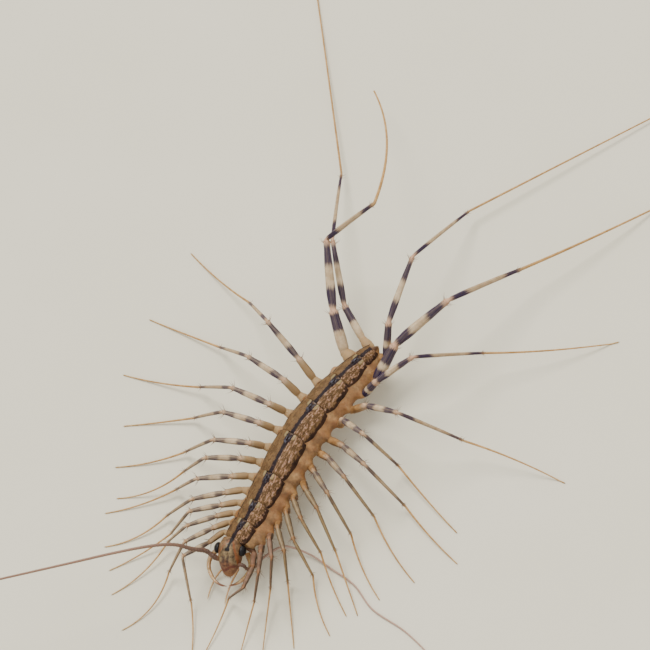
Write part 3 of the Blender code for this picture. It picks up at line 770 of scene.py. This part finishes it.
def make_plate_finish():
    """Brown, grained plate with a dark middle stripe, ragged dark sides and pale rear corners."""
    paint = Paint("plate", (1500.0, 5600.0), ((84, 61, 34), (116, 88, 55)),
                  Specular_IOR_Level=0.18)
    signed, along, rear, edge = paint.read("across", "along", "rear", "edge")
    grooves = noise(place_from(signed * 7.0, along * 8.0, paint.mottle), 1.0, 4.0, 0.65)
    ragged = (paint.mottle - 0.5) * 0.10 + (grooves - 0.5) * 0.36
    across = abs(signed) + ragged * 0.8
    paint.cover(grooves.below(0.45, 0.06) * 0.60, (62, 42, 24))
    paint.cover(paint.specks * 0.5, (60, 42, 25))
    # Painted highlights: pale glints and brighter sparks on the plate's left half, where light catches the
    # grain
    lit = signed.within(0.10, 1.45, 0.20)
    painted_glints = grooves.above(0.535, 0.05) * lit
    paint.cover(painted_glints * 0.50, (178, 136, 112))
    paint.cover(grooves.above(0.62, 0.04) * lit * 0.24, (222, 192, 172))
    corners = (rear - (0.74 - across * 0.72)).below(0.0, 0.10) * across.within(0.38, 0.62, 0.11)
    paint.cover(corners * 0.45, (168, 154, 110))
    middle = across.below(rear.below(0.86, 0.16) * 0.15 + 0.21, 0.06)
    paint.cover(middle, (26, 14, 18), (62, 42, 40), paint.specks)
    # Painted highlight: bluish sparkles on the stripe near the breathing slit, which is also glossier there
    painted_sparkle = middle * rear.below(0.85, 0.10) * grooves.above(0.58, 0.04)
    paint.cover(painted_sparkle * 0.28, (136, 138, 154))
    hooks = along.below(0.07, 0.04) + along.above(0.90, 0.05)
    sides = (edge - hooks * 0.08 + ragged * 1.5).below(0.20, 0.06)
    paint.cover(sides * 0.94, (32, 19, 16), (66, 42, 30))
    # Painted shade along the rear rim, where the plate overhangs the next one
    paint.cover(along.above(0.985, 0.010) * 0.30, (60, 42, 28))
    return paint.done(0.60 - painted_sparkle * 0.42 - painted_glints * 0.14, (0.00006, 0.8), (0.10, 0.0003))


def make_skin_finish():
    """Soft flank and belly: tan with amber patches, wrinkled, with painted shade in the folds and under the
    plates.
    """
    paint = Paint("soft_skin", (1100.0, 6000.0), ((98, 68, 36), (166, 128, 82)),
                  Coat_Weight=0.08, Coat_Roughness=0.3, Specular_IOR_Level=0.35)
    fold_shade, level = paint.read("fold_shade", "level")
    patches = noise(paint.place, 620.0, 3.0)
    paint.cover(patches.above(0.52, 0.06) * 0.40, (144, 92, 46))
    paint.cover(paint.specks * 0.45, (92, 58, 30))
    # Painted shade in the folds between the legs
    paint.cover(fold_shade * 0.40, (104, 70, 38))
    # Painted shade on the upper flank, under the plates
    paint.cover(level.above(0.68, 0.06), (84, 56, 32))
    return paint.done(paint.mottle * 0.16 + 0.38, (0.00006, 0.6), (0.18, 0.0006))


def make_leg_finish():
    """Tan coxa, pale horn pieces with streaked slate bands, and an amber tarsus."""
    paint = Paint("leg", (1300.0, 9000.0), ((116, 82, 46), (160, 122, 78)),
                  Specular_IOR_Level=0.16)
    mottle, specks = paint.mottle, paint.specks
    along, signed, above, tone, faded = paint.read("along", "beside", "above", "tone", "faded")
    line = noise(place_from(signed * 5.0, along * 2.0), 1.0, 2.0)
    along = along + (line - 0.5) * 0.16
    beside = abs(signed)
    rear = tone.above(0.95, 0.04)
    paint.cover(specks * 0.5, (104, 64, 32))
    # Painted light: the right legs, which face the light, are painted paler here and in the horn and bands
    # below
    paint.cover(faded * 0.80, (160, 134, 98))
    horn = mixed(faded.most(tone), mixed(mottle, (92, 76, 56), (130, 112, 84)),
                 mixed(mottle, (170, 146, 114), (200, 180, 150)))
    # Painted highlight: a paler line along the top and underside of each piece
    horn = mixed(beside.below(0.24, 0.14) * 0.34, horn, (190, 170, 136))
    horn = mixed(along.within(3.05, 3.98, 0.08) * 0.55, horn,
                 mixed(mottle, (146, 118, 80), (172, 146, 106)))
    paint.cover(along.above(tone.spread(0.88, 1.0, 1.84, 1.06), 0.20), horn)
    paint.cover(tone.below(-0.2, 0.05) * 0.75, (92, 66, 56), (128, 98, 84))
    paint.cover(along.above(3.95, 0.12), (154, 118, 68), (184, 147, 96))
    for joint in (2.0, 3.0):
        near = along.within(joint - 0.09, joint + 0.05, 0.04) * (rear * 0.35 + 0.35)
        paint.cover(near, (168, 112, 62), (196, 152, 124), tone)
    dark = along.within(1.04, 1.34, 0.05) * (rear * (1.0 - faded))
    for start, end, light, full, from_tone in LEG_BANDS:
        strength = tone.spread(0.25, 1.0, light, full) * tone.spread(from_tone, from_tone + 0.12)
        dark = dark.most(along.within(start, end, 0.05) * strength)
    streaks = (line.above(0.50, 0.10) * 0.40).most(beside.below(0.16, 0.10) * 0.50)
    streaks *= tone.spread(0.5, 1.0, 1.0, 0.25) * along.within(1.0, 3.0, 0.02)
    dark = dark * (1.0 - streaks) - above.below(-0.55, 0.2) * 0.25
    # Painted shade along both sides of each piece, weaker on the darker legs
    side_shade = beside.above(0.76, 0.10) * along.within(1.20, 3.97, 0.20) * (0.80 - tone * 0.55)
    paint.cover(side_shade, (66, 52, 40))
    paint.cover(dark, (72, 60, 62), (30, 17, 54), tone)
    paint.cover(specks * 0.20, (120, 92, 68))
    return paint.done(mottle * 0.16 + 0.48, (0.00003, 0.5), (0.25, 0.0005), (1.0, 0.6, 0.35))


def make_bristle_finish():
    """Brown horn."""
    paint = Paint("bristle", (2500.0, 9000.0), ((78, 50, 34), (146, 102, 62)), Coat_Weight=0.1)
    return paint.done(paint.mottle * 0.2 + 0.35)


def make_head_finish():
    """Olive-tan crown with a dark stripe, tan cheeks beyond an orange seam, red-brown face."""
    paint = Paint("head", (2200.0, 5200.0), ((70, 54, 34), (140, 118, 84)),
                  Specular_IOR_Level=0.3)
    mottle = paint.mottle
    ahead, signed, level = paint.read("ahead", "across", "level")
    signed = signed + (ahead * 0.165 - 0.28)
    across = abs(signed) + (mottle - 0.5) * 0.10
    seam = across - ahead * 0.50
    cheek = mixed(ahead.above(1.30, 0.35), mixed(mottle, (84, 58, 36), (128, 96, 64)),
                  mixed(mottle, (100, 64, 38), (142, 100, 64)))
    paint.cover(seam.above(0.04, 0.05) * 0.85, cheek)
    wider = signed.above(0.0, 0.05) * (ahead * 0.09)
    seam_line = seam.within(-0.05, wider + 0.09, 0.05) * ahead.within(0.15, 2.7, 0.15)
    paint.cover(seam_line * 0.70, (132, 72, 34))
    face = (ahead - across * 0.25).above(2.30, 0.25)
    paint.cover(face * 0.75, (78, 40, 24), (126, 76, 44))
    rim = (ahead + across * 0.55).within(3.10, 3.34, 0.06)
    paint.cover(rim * 0.8, (84, 32, 18))
    lip = ahead.above(3.36, 0.08)
    paint.cover(lip * 0.7, (128, 84, 48))
    width = ahead.within(1.20, 1.56, 0.14) * 0.12 + ahead.below(0.35, 0.25) * 0.07 + 0.15
    middle = across.below(width, 0.05) * ahead.below(1.52, 0.10)
    paint.cover(middle, (16, 9, 12))
    brow = across.within(0.10, 0.40, 0.06) * ahead.within(1.95, 2.60, 0.15)
    paint.cover(brow * 0.7, (58, 38, 32))
    paint.cover(level.below(2.9, 0.4) * 0.8, (144, 96, 54))
    paint.cover(paint.specks * 0.70, (46, 32, 26))
    return paint.done(middle * 0.25 + 0.40, (0.00006, 0.8), (0.12, 0.0004))


def make_eye_finish():
    """Black eye of many small round lenses."""
    paint = Paint("eye", Specular_IOR_Level=0.25)
    distance = value_of(paint.tree, "ShaderNodeTexVoronoi", {
        "Vector": paint.place, "Scale": 11000.0}, output="Distance")
    paint.ground = mixed(distance, (6, 5, 7), (18, 14, 18))
    paint.height = 1.0 - distance
    return paint.done(distance * 0.20 + 0.16, (0.00004, 0.6))


def make_antenna_finish():
    """Mauve-brown feeler, darker at each ring and towards its amber root."""
    paint = Paint("antenna", (1500.0, 9000.0), ((60, 40, 32), (98, 70, 56)),
                  Specular_IOR_Level=0.35)
    along, ring, pale = paint.read("along", "ring", "pale")
    paint.cover(along.above(0.15, 0.2), (138, 106, 86))
    paint.cover(along.below(0.010, 0.01), (100, 66, 40))
    paint.cover(ring * 0.35, (80, 56, 50))
    paint.cover(pale * along.above(0.10, 0.06) * 0.65, (184, 152, 136))
    return paint.done(paint.specks * 0.2 + 0.45, (0.00003, 0.5), (0.10, 0.0003))


def make_mouth_finish():
    """Amber, glassy poison claws and palps with dark joints, and dark tips on the claws."""
    paint = Paint("mouthpart", (1500.0, 7000.0), ((186, 150, 98), (210, 180, 132)),
                  Coat_Weight=0.3, Coat_Roughness=0.15)
    along, beside, claw = paint.read("along", "beside", "claw")
    along = along + (paint.mottle - 0.5) * 0.05
    # Painted shade along the sides of the glassy claws and palps
    paint.cover(abs(beside).above(0.62, 0.22) * 0.75, (128, 82, 44))
    dark = along.above(0.82, 0.08) * claw
    for joint in (0.33, 0.57):
        dark = dark.most(along.within(joint - 0.010, joint + 0.012, 0.010) * 0.5)
    paint.cover(dark, (104, 58, 32))
    return paint.done(paint.specks * 0.15 + 0.22, (0.00002, 0.4), (0.35, 0.0008))


PLATE = make_plate_finish()
SKIN = make_skin_finish()
LEG = make_leg_finish()
BRISTLE = make_bristle_finish()
HEAD = make_head_finish()
EYE = make_eye_finish()
ANTENNA = make_antenna_finish()
MOUTH = make_mouth_finish()


# Trunk

def build_plate(number):
    """One domed plate with a rolled edge, a notched rear margin and a raised breathing slit."""
    first, last = number == 1, number == len(PLATE_ENDS)
    start = FIRST_PLATE_FRONT if first else PLATE_ENDS[number - 2] + PLATE_GAP
    rear = PLATE_ENDS[number - 1] + (LAST_PLATE_SHORT if last else PLATE_OVERHANG)
    rise = LAST_PLATE_RISE if last else PLATE_RISE
    bend = LAST_PLATE_BEND if last else PLATE_BEND
    marks = []

    def place(u, v):
        side = 2 * u - 1
        raised = PLATE_RAISE * between(rise, v)
        share, level, out, lift = row_at(PLATE_SECTION, abs(side) * (len(PLATE_SECTION) - 1))
        distance = start + v * (rear - start)
        wide = half_width(distance) * (PLATE_FIT - PLATE_MARGIN * abs(2 * v - 1) ** PLATE_BARREL)
        top, bottom = heights(distance)
        across = share * wide + out * raised
        height = bottom + level * (top - bottom) + lift * raised
        corner = PLATE_CORNER * min(across / wide, 1.0) ** 3
        notch = 0.0 if last else PLATE_NOTCH * max(0.0, 1 - across / (NOTCH_SPREAD * wide)) * v
        curve = 0.0 if first and v < 0.3 else between(bend, v)
        back = distance - curve * corner - notch
        from_rear = rear - PLATE_NOTCH - distance
        if not last:
            from_stoma = abs(from_rear - STOMA_FROM_REAR)
            oval = math.hypot(across / STOMA_WIDE, from_stoma / STOMA_LONG)
            height += STOMA_HIGH * math.exp(-oval ** 3)
            height -= STOMA_HIGH * SLIT_DEEP * bump(across, 0.0, STOMA_SLIT) * math.exp(
                -(from_stoma / (SLIT_LONG * STOMA_LONG)) ** 4)
        height += sum(rib * bump(abs(side), at, spread) for at, spread, rib in PLATE_RIBS)
        marks.append((math.copysign(across, side), v, NO_STOMA if last else max(from_rear, 0.0),
                      wide - across))
        return rolled(*trunk_frame(back), math.copysign(across, side), height)

    plate = shaped_grid(PLATE_COLUMNS, PLATE_ROWS, place)
    mark(plate, **dict(zip(("across", "along", "rear", "edge"), zip(*marks))))
    wall = plate.modifiers.new("wall", "SOLIDIFY")
    wall.thickness = PLATE_THICK * MM
    wall.offset = -1.0
    finer = plate.modifiers.new("finer", "SUBSURF")
    finer.levels = finer.render_levels = 1
    if plate.data.polygons[0].normal.z < 0:
        plate.data.flip_normals()
    for modifier in ("wall", "finer"):
        bpy.ops.object.modifier_apply(modifier=modifier)
    hand_over(plate, f"plate_{number:02d}", PLATE, [f"trunk_{number:02d}"],
              plate_hairs(number, place))


def plate_hairs(number, place):
    """Short spines along the rear edge and sparse hairs over the plate."""
    draw = random.Random(number)
    for step in range(RIM_SPINES):
        u = 0.03 + 0.94 * step / (RIM_SPINES - 1) + draw.uniform(-0.008, 0.008)
        root = place(u, 0.985)
        ahead = root - place(u, 0.93)
        yield root, ahead + UP * 0.02, *grown(draw, RIM_SPINE), UP
    for _ in range(PLATE_HAIRS):
        u, v = draw.uniform(0.05, 0.95), draw.uniform(0.08, 0.95)
        root = place(u, v)
        ahead = (place(u, v + 0.02) - root).normalized()
        rise = UP * draw.uniform(0.5, 1.0)
        yield root - UP * HAIR_SUNK, ahead + rise, *grown(draw, PLATE_HAIR), ahead


def leg_station(pair):
    """Distance of a pair of legs from the neck."""
    steps = pair - 1
    a, b, c = STATION_STEPS
    return STATION_FIRST + a * steps + b * steps ** 2 + c * steps ** 3


STATIONS = [leg_station(pair) for pair in range(1, LEG_PAIRS + 1)]


def build_trunk_skin():
    """Soft trunk under the plates: swollen at each leg, folded between, and the tail cone."""
    rear = PLATE_ENDS[-1] + SKIN_REAR
    marks = []

    def place(share, turn):
        distance = SKIN_FRONT + (rear - SKIN_FRONT) * share
        from_front, from_rear = max(0.0, distance - SKIN_FRONT), max(0.0, rear - distance)
        swell = bump(min(abs(distance - station) for station in STATIONS), 0.0, SWELL_SPREAD)
        side, part = (1, 2 * turn) if turn < 0.5 else (-1, 2 - 2 * turn)
        wide_share, level, out = row_at(SKIN_SECTION, part * (len(SKIN_SECTION) - 1))
        held = min(max(distance, 0.0), PLATE_ENDS[-1])
        top, bottom = heights(held)
        narrow = min(1.0, math.sqrt(from_front / SKIN_ROUND_FRONT))
        narrow *= min(1.0, from_rear / SKIN_ROUND_REAR) ** SKIN_BLUNT
        shoulder = min(1.0, from_front / SKIN_SHOULDER) * min(1.0, from_rear / SKIN_SHOULDER)
        out *= SKIN_SWELL[side] * (SWELL_BETWEEN + SWELL_AT_LEG * swell) * (0.25 + 0.75 * shoulder)
        across = (wide_share * half_width(held) + out) * narrow
        height = bottom + level * (top - bottom) - BELLY_FOLD * (1 - swell) * (level < 0.3)
        middle = bottom + SKIN_MIDDLE * (top - bottom)
        height = middle + (height - middle) * narrow
        # The first mark sets the painted shade in the folds between the legs
        marks.append(((1 - swell) * min(1.0, 1.5 * out), level))
        return rolled(*trunk_frame(distance), side * across, height)

    skin = shaped_ball(SKIN_SEGMENTS, SKIN_RINGS, place)
    mark(skin, **dict(zip(("fold_shade", "level"), zip(*marks))))
    close_up()
    nodes = [f"trunk_{number:02d}" for number in range(1, len(PLATE_ENDS) + 1)]
    hand_over(skin, "trunk_skin", SKIN, nodes)


# Head

def head_size(distance):
    """Half width, top and bottom of the head, smoothly between its stations."""
    position = np.interp(distance, HEAD_FORM[:, 0], range(len(HEAD_FORM)))
    return row_at(HEAD_FORM, float(position))[1:]


def build_head():
    """Head capsule: brow ridges, a seam behind the eyes, eye rims and a rounded lip."""
    back, front = HEAD_FORM[0][0], HEAD_FORM[-1][0]
    marks = []

    def place(share, turn):
        distance = back + (front - back) * (0.5 - 0.5 * math.cos(math.pi * share))
        wide, top, bottom = head_size(distance)
        round_off = min(1.0, math.sqrt(share * 8), math.sqrt((1 - share) * 8))
        angle = 2 * math.pi * turn
        cos, sin = math.cos(angle), math.sin(angle)
        rim = bump(distance, EYE_AT, 0.62) * bump(abs(cos), 1.0, 0.30)
        across = rounded(cos, 0.85) * wide * (1 + 0.10 * rim)
        lift = 0.0
        if sin > 0:
            lift -= 0.05 * bump(distance, 0.42, 0.07) * sin      # seam behind the eyes
            lift -= 0.035 * bump(across, 0.0, 0.04) * (distance > 0.5)      # middle furrow
            lift += 0.07 * bump(abs(across), 0.42, 0.20) * bump(distance, 1.9, 0.45)      # brows
            lift -= 0.06 * bump(distance, 2.55, 0.10) * sin      # groove across the face
            lift += 0.05 * bump(distance, 3.0, 0.22) * bump(across, 0.0, 0.35)      # lip
        across *= round_off
        tall = rounded(sin, 0.92) * (top - bottom) / 2 + lift
        height = (top + bottom) / 2 + tall * round_off
        marks.append((distance, across, height))
        return head_point(distance, across, height)

    head = shaped_ball(*HEAD_MESH, place)
    mark(head, **dict(zip(("ahead", "across", "level"), zip(*marks))))
    close_up()
    hand_over(head, "head_capsule", HEAD, ["head"], head_hairs(place))


def head_hairs(place):
    """Short hairs over the crown and longer ones round the lip."""
    draw = random.Random(40)
    middle = head_point(1.6, 0.0, 3.4)
    for _ in range(CROWN_HAIRS):
        share, turn = draw.uniform(0.12, 0.9), draw.uniform(0.03, 0.47)
        root = place(share, turn)
        out = (root - middle).normalized()
        yield root - out * HAIR_SUNK, out + UP * 0.2, *grown(draw, CROWN_HAIR), UP
    ahead = head_point(1.0, 0.0, 0.0) - head_point(0.0, 0.0, 0.0)
    for _ in range(LIP_HAIRS):
        share, turn = draw.uniform(0.84, 0.97), draw.uniform(0.0, 1.0)
        root = place(share, turn)
        out = (root - middle).normalized()
        yield root - out * HAIR_SUNK, ahead + out * 0.6, *grown(draw, LIP_HAIR), -UP


def build_eye(side):
    """Domed eye set in the head's flank."""
    wide = head_size(EYE_AT)[0] + EYE_OUT * 0.5

    def place(share, turn):
        angle = 2 * math.pi * turn
        ring, depth = math.sin(math.pi * share), math.cos(math.pi * share)
        depth = depth if depth > 0 else EYE_BACK * depth
        ahead = rounded(ring * math.cos(angle), 0.92) * EYE_LENGTH / 2
        high = rounded(ring * math.sin(angle), 0.95) * EYE_TALL / 2
        out = wide + depth * EYE_DEPTH - EYE_LEAN * high
        return head_point(EYE_AT + ahead, SIGN[side] * out, EYE_HEIGHT + high)

    eye = shaped_ball(*EYE_MESH, place)
    close_up()
    hand_over(eye, f"eye_dome_{side}", EYE, [f"eye_{side}"])


def build_feeler(name, points, radii, article, hairs, finish, slot, nodes, **marks):
    """Long feeler of many small rings along a smooth route."""
    route = Route(points)
    articles = round(route.length / article)
    rings = []
    grooves = []
    for number in range(articles):
        for part, swell in ((0.0, -0.5), (0.35, 0.2), (0.85, 0.5)):
            share = (number + part) / articles
            rings.append((route.at(share * route.length),
                          between(radii, share) * (1 + ARTICLE_SWELL * swell), share, 0.0))
            grooves.append(float(part == 0.0))
    feeler = limb(with_ends(rings), FEELER_SIDES, ring=[grooves[0]] + grooves + [grooves[-1]])
    mark(feeler, **marks)
    hand_over(feeler, name, finish, nodes, feeler_hairs(name, route, radii, hairs))


def feeler_hairs(name, route, radii, hairs):
    """Fine hairs all round a feeler, but for those that would reach into the floor."""
    draw = random.Random(name)
    for _ in range(hairs):
        share = draw.uniform(0.02, 0.99)
        distance = share * route.length
        ahead = route.direction(distance)
        out = Matrix.Rotation(draw.uniform(0, 2 * math.pi), 3, ahead) @ ahead.orthogonal()
        out.normalize()
        root = route.at(distance) + out * between(radii, share) * 0.9
        if root.z >= 0.3 or out.z >= 0.2:
            yield root, ahead + out * 1.2, *grown(draw, FEELER_HAIR), ahead


# Legs

def swing_direction(side, angle):
    angle = math.radians(angle)
    return Vector((SIGN[side] * math.cos(angle), -math.sin(angle), 0.0))


def reach(start, side, angle, length, height):
    """End of a limb piece of this length that ends at this height."""
    drop = height - start.z
    level = math.sqrt(max(length ** 2 - drop ** 2, 0.01))
    return start + swing_direction(side, angle) * level + UP * drop


def leg_joints(side, pair):
    """Root, hip, and the ends of prefemur, femur, tibia and tarsus."""
    distance = leg_station(pair)
    place, left = trunk_frame(distance)
    before_sixth = max(6 - pair, 0)
    height = ROOT_HEIGHT - FRONT_ROOT_DROP * before_sixth
    root = rolled(place, left, SIGN[side] * (half_width(distance) * FLANK_SHARE + FLANK_GAP), height)
    swings, levels, _, tarsus_share = POSE[side][pair - 1]
    levels = (*levels, RAISED_TOES.get((side, pair), TOE_HEIGHT))
    lengths = [length + growth * (pair - 3) ** 2 + besides.get(pair, 0.0)
               for length, growth, besides in LIMB_RULES]
    lengths[3] *= tarsus_share
    sweep = REAR_SWEEP.get(pair, COXA_SWEEP)
    out = left * SIGN[side] * (1 - sweep) + swing_direction(side, swings[0]) * sweep
    joints = [root - out * COXA_SUNK, root + out * (COXA - FRONT_COXA * before_sixth)]
    for swing, length, level in zip(swings, lengths, levels):
        joints.append(reach(joints[-1], side, swing, length, level))
    return joints


def bowed(a, b, share):
    """Point at this share of a limb piece, which bows upwards."""
    return a.lerp(b, share) + UP * (LIMB_BOW * (b - a).length * 4 * share * (1 - share))


def piece_rings(a, b, number, scale):
    """Rings along one limb piece, those of its table and evenly between them."""
    table = PIECE_RINGS[number]
    shares = []
    for (one, _), (two, _) in zip(table, table[1:]):
        steps = max(1, round((two - one) * (b - a).length / RING_STEP))
        shares += [one + (two - one) * step / steps for step in range(steps)]
    shares.append(table[-1][0])
    return [(bowed(a, b, share), between(table, share) * scale, number + share,
             KEELS[number] * min(1.0, 5 * share, 5 * (1 - share))) for share in shares]


def tarsus_point(side, pair, ankle, toe, part):
    """Point at this share of the tarsus, which curves sideways and down to the floor."""
    swings, _, bend, _ = POSE[side][pair - 1]
    bow = (toe - ankle).length * math.radians(bend) / 8
    aside = swing_direction(side, swings[3] + 90)
    point = ankle.lerp(toe, part) + aside * bow * 4 * part * (1 - part)
    if (side, pair) not in RAISED_TOES:
        fall = max(0.0, 1 - part / TARSUS_DOWN_AT) ** TARSUS_SAG[side]
        point.z = toe.z + (ankle.z - toe.z) * fall
    return point


def tarsus_rings(side, pair, ankle, toe, scale):
    """Many small rings along the tarsus, whose lower side keeps off the floor."""
    articles = round((toe - ankle).length / TARSUS_ARTICLE)
    thick, thin = TARSUS_RADII
    rings = []
    for number in range(articles):
        for part, swell in ((0.0, -0.5), (0.3, 0.1), (0.85, 0.5)):
            share = (number + part) / articles
            point = tarsus_point(side, pair, ankle, toe, share)
            radius = (thick + (thin - thick) * share ** 0.7) * (scale * (1 + ARTICLE_SWELL * swell))
            rings.append((point, min(radius, point.z) if point.z < 0.1 else radius,
                          4 + share, 0.0))
    return rings


def smoothed(rings):
    """Round the bends of the limb's centre line."""
    points = [ring[0] for ring in rings]
    for _ in range(CORNER_PASSES):
        points = [points[0]] + [(a + 2 * b + c) / 4 for a, b, c
                                in zip(points, points[1:], points[2:])] + [points[-1]]
    return [(point, *ring[1:]) for point, ring in zip(points, rings)]


def leg_hairs(side, pair, joints, scale):
    """Crowns of spurs at the joints and rows of spines along the pieces."""
    draw = random.Random(f"{side} {pair}")
    for number, (spurs, spur_size, spine_step) in enumerate(LEG_SPINES, 1):
        a, b = joints[number:number + 2]
        ahead = (b - a).normalized()
        cross = ahead.cross(UP).normalized()
        rise = cross.cross(ahead)
        for step in range(spurs):
            angle = 2 * math.pi * (step + draw.uniform(-0.2, 0.2)) / spurs
            out = rise * math.cos(angle) + cross * math.sin(angle)
            share = draw.uniform(0.925, 0.965)
            radius = between(PIECE_RINGS[number], share) * scale
            root = a.lerp(b, share) + out * radius * 0.85
            length, thick = grown(draw, SPUR)
            lean = out + ahead * draw.uniform(0.35, 0.9)
            yield root, lean, length * spur_size, thick, ahead
        count = round((b - a).length / spine_step)
        for row in range(SPINE_ROWS):
            angle = 2 * math.pi * row / SPINE_ROWS
            out = rise * math.cos(angle) + cross * math.sin(angle)
            for step in range(count):
                share = (step + draw.uniform(0.2, 0.8)) / count
                radius = between(PIECE_RINGS[number], share) * scale
                root = bowed(a, b, share) + out * radius * 0.92
                lean = ahead + out * draw.uniform(0.4, 0.8)
                yield root, lean, *grown(draw, LEG_SPINE), ahead


def tarsus_hairs(pair, rings):
    """Fine hairs on both sides of every second ring of the tarsus, and the claw."""
    draw = random.Random(pair)
    feet = [ring for ring in rings if ring[2] > 4.02]
    for here, there in list(zip(feet, feet[1:]))[::6]:
        ahead = (there[0] - here[0]).normalized()
        cross = ahead.cross(UP).normalized()
        for sign in (-1, 1):
            rise = draw.uniform(-0.5, 0.6)
            out = cross * sign + UP * (0.5 if here[0].z < 0.25 else rise)
            root = here[0] + out.normalized() * here[1] * 0.8
            yield root, ahead + out * 0.7, *grown(draw, TARSUS_HAIR), ahead
    end, before = rings[-1], rings[-4]
    ahead = (end[0] - before[0]).normalized()
    yield end[0] - ahead * CLAW_SUNK, ahead, *CLAW, UP


def leg_tone(side, pair):
    """How strong and dark the bands are: 1 in full, and below 0 on a leg without any."""
    if pair > 12:
        return 1.0
    if side == "left":
        return -0.5 if pair < 4 else min(0.88, max(0.0, (pair - 7) / 5))
    return min(0.88, max(0.30, 0.30 + (pair - 4) / 14))


def build_leg(side, pair):
    """One leg, from its coxa in the flank to its claw, or the stump of the one that is lost."""
    whole = (side, pair) != STUMP
    scale = 1 + THICKEN * max(pair - 6, 0) - FRONT_SLIM * max(6 - pair, 0)
    scale *= REAR_THICKNESS.get(pair, 1.0)
    joints = leg_joints(side, pair)
    hip = joints[1] if whole else joints[0].lerp(joints[1], STUMP_LENGTH)
    rings = piece_rings(joints[0], hip, 0, scale * (1.0 if pair > 3 else 0.82 + 0.045 * pair))
    hairs = []
    if whole:
        for number in (1, 2, 3):
            rings += piece_rings(*joints[number:number + 2], number, scale)
        rings += tarsus_rings(side, pair, *joints[4:], scale)
        hairs = [*leg_hairs(side, pair, joints, scale), *tarsus_hairs(pair, rings)]
    leg = limb(with_ends(smoothed(rings)), LIMB_SIDES)
    # faded marks the right legs, painted paler for the light that falls on them
    mark(leg, tone=leg_tone(side, pair), faded=float(whole and side == "right"))
    hand_over(leg, f"leg_{side}_{pair:02d}_skin", LEG, [f"leg_{side}_{pair:02d}"], hairs)


# Floor, light and camera

def build_floor():
    """Plain pale floor."""
    deselect()
    bpy.ops.mesh.primitive_plane_add(size=4.0, location=(0.0, 0.0, 0.0))
    floor = bpy.context.object
    floor.name = "floor"
    paint = Paint("floor")
    paint.ground = mixed(noise(paint.place, 60.0, 4.0), (214, 209, 186), (221, 216, 198))
    floor.data.materials.append(paint.done(0.7))


def build_light_and_camera():
    """Pale sky, one broad sun, and the camera over the animal's left side."""
    world = bpy.data.worlds.new("studio")
    bpy.context.scene.world = world
    world.use_nodes = True
    sky = world.node_tree.nodes["Background"]
    sky.inputs["Color"].default_value = (*SKY_COLOUR, 1.0)
    sky.inputs["Strength"].default_value = SKY_STRENGTH
    bpy.ops.object.light_add(type="SUN")
    sun = bpy.context.object
    sun.name = "key_light"
    sun.rotation_euler = LIGHT_FROM.to_track_quat("Z", "Y").to_euler()
    sun.data.energy = SUN_STRENGTH
    sun.data.angle = math.radians(LIGHT_SPREAD)
    sun.data.color = SUN_COLOUR
    towards = Vector((math.tan(math.radians(TILT_TO_LEFT)), -math.tan(math.radians(TILT_TO_HEAD)),
                      1.0)).normalized()
    turn = math.radians(PICTURE_TURN)
    up = Vector((-math.sin(turn), math.cos(turn), 0.0))
    up = (up - towards * up.dot(towards)).normalized()
    bpy.ops.object.camera_add()
    camera = bpy.context.object
    camera.name = "camera"
    camera.rotation_euler = Matrix((up.cross(towards), up, towards)).transposed().to_euler()
    camera.location = (PICTURE_MIDDLE + SHIFT + towards * CAMERA_AWAY) * MM
    camera.data.sensor_width = SENSOR
    camera.data.lens = SENSOR * CAMERA_AWAY / PICTURE_WIDTH
    bpy.context.scene.camera = camera


build_trunk_skin()
for number in range(1, len(PLATE_ENDS) + 1):
    build_plate(number)
build_head()
for side in SIGN:
    build_eye(side)
    for pair in range(1, LEG_PAIRS + 1):
        build_leg(side, pair)
slim = [(share, radius * ANTENNA_LEFT_SLIM) for share, radius in ANTENNA_RADII]
for side, route, radii in (("right", ANTENNA_RIGHT, ANTENNA_RADII), ("left", ANTENNA_LEFT, slim)):
    build_feeler(f"antenna_{side}", route, radii, ANTENNA_ARTICLE, ANTENNA_HAIRS, ANTENNA, "antenna",
                 [f"antenna_{side}_1", f"antenna_{side}_2"], pale=float(side == "left"))
for side, route in (("right", FORCIPULE_RIGHT), ("left", FORCIPULE_LEFT)):
    build_feeler(f"poison_claw_{side}", route, FORCIPULE_RADII, FORCIPULE_ARTICLE, FORCIPULE_HAIRS,
                 MOUTH, "mouthpart", [f"forcipule_{side}"], claw=1.0)
for side, route in (("right", PALP_RIGHT), ("left", PALP_LEFT)):
    build_feeler(f"mouth_palp_{side}", route, PALP_RADII, PALP_ARTICLE, PALP_HAIRS,
                 MOUTH, "mouthpart", [f"palp_{side}"], claw=0.0)
build_floor()
build_light_and_camera()
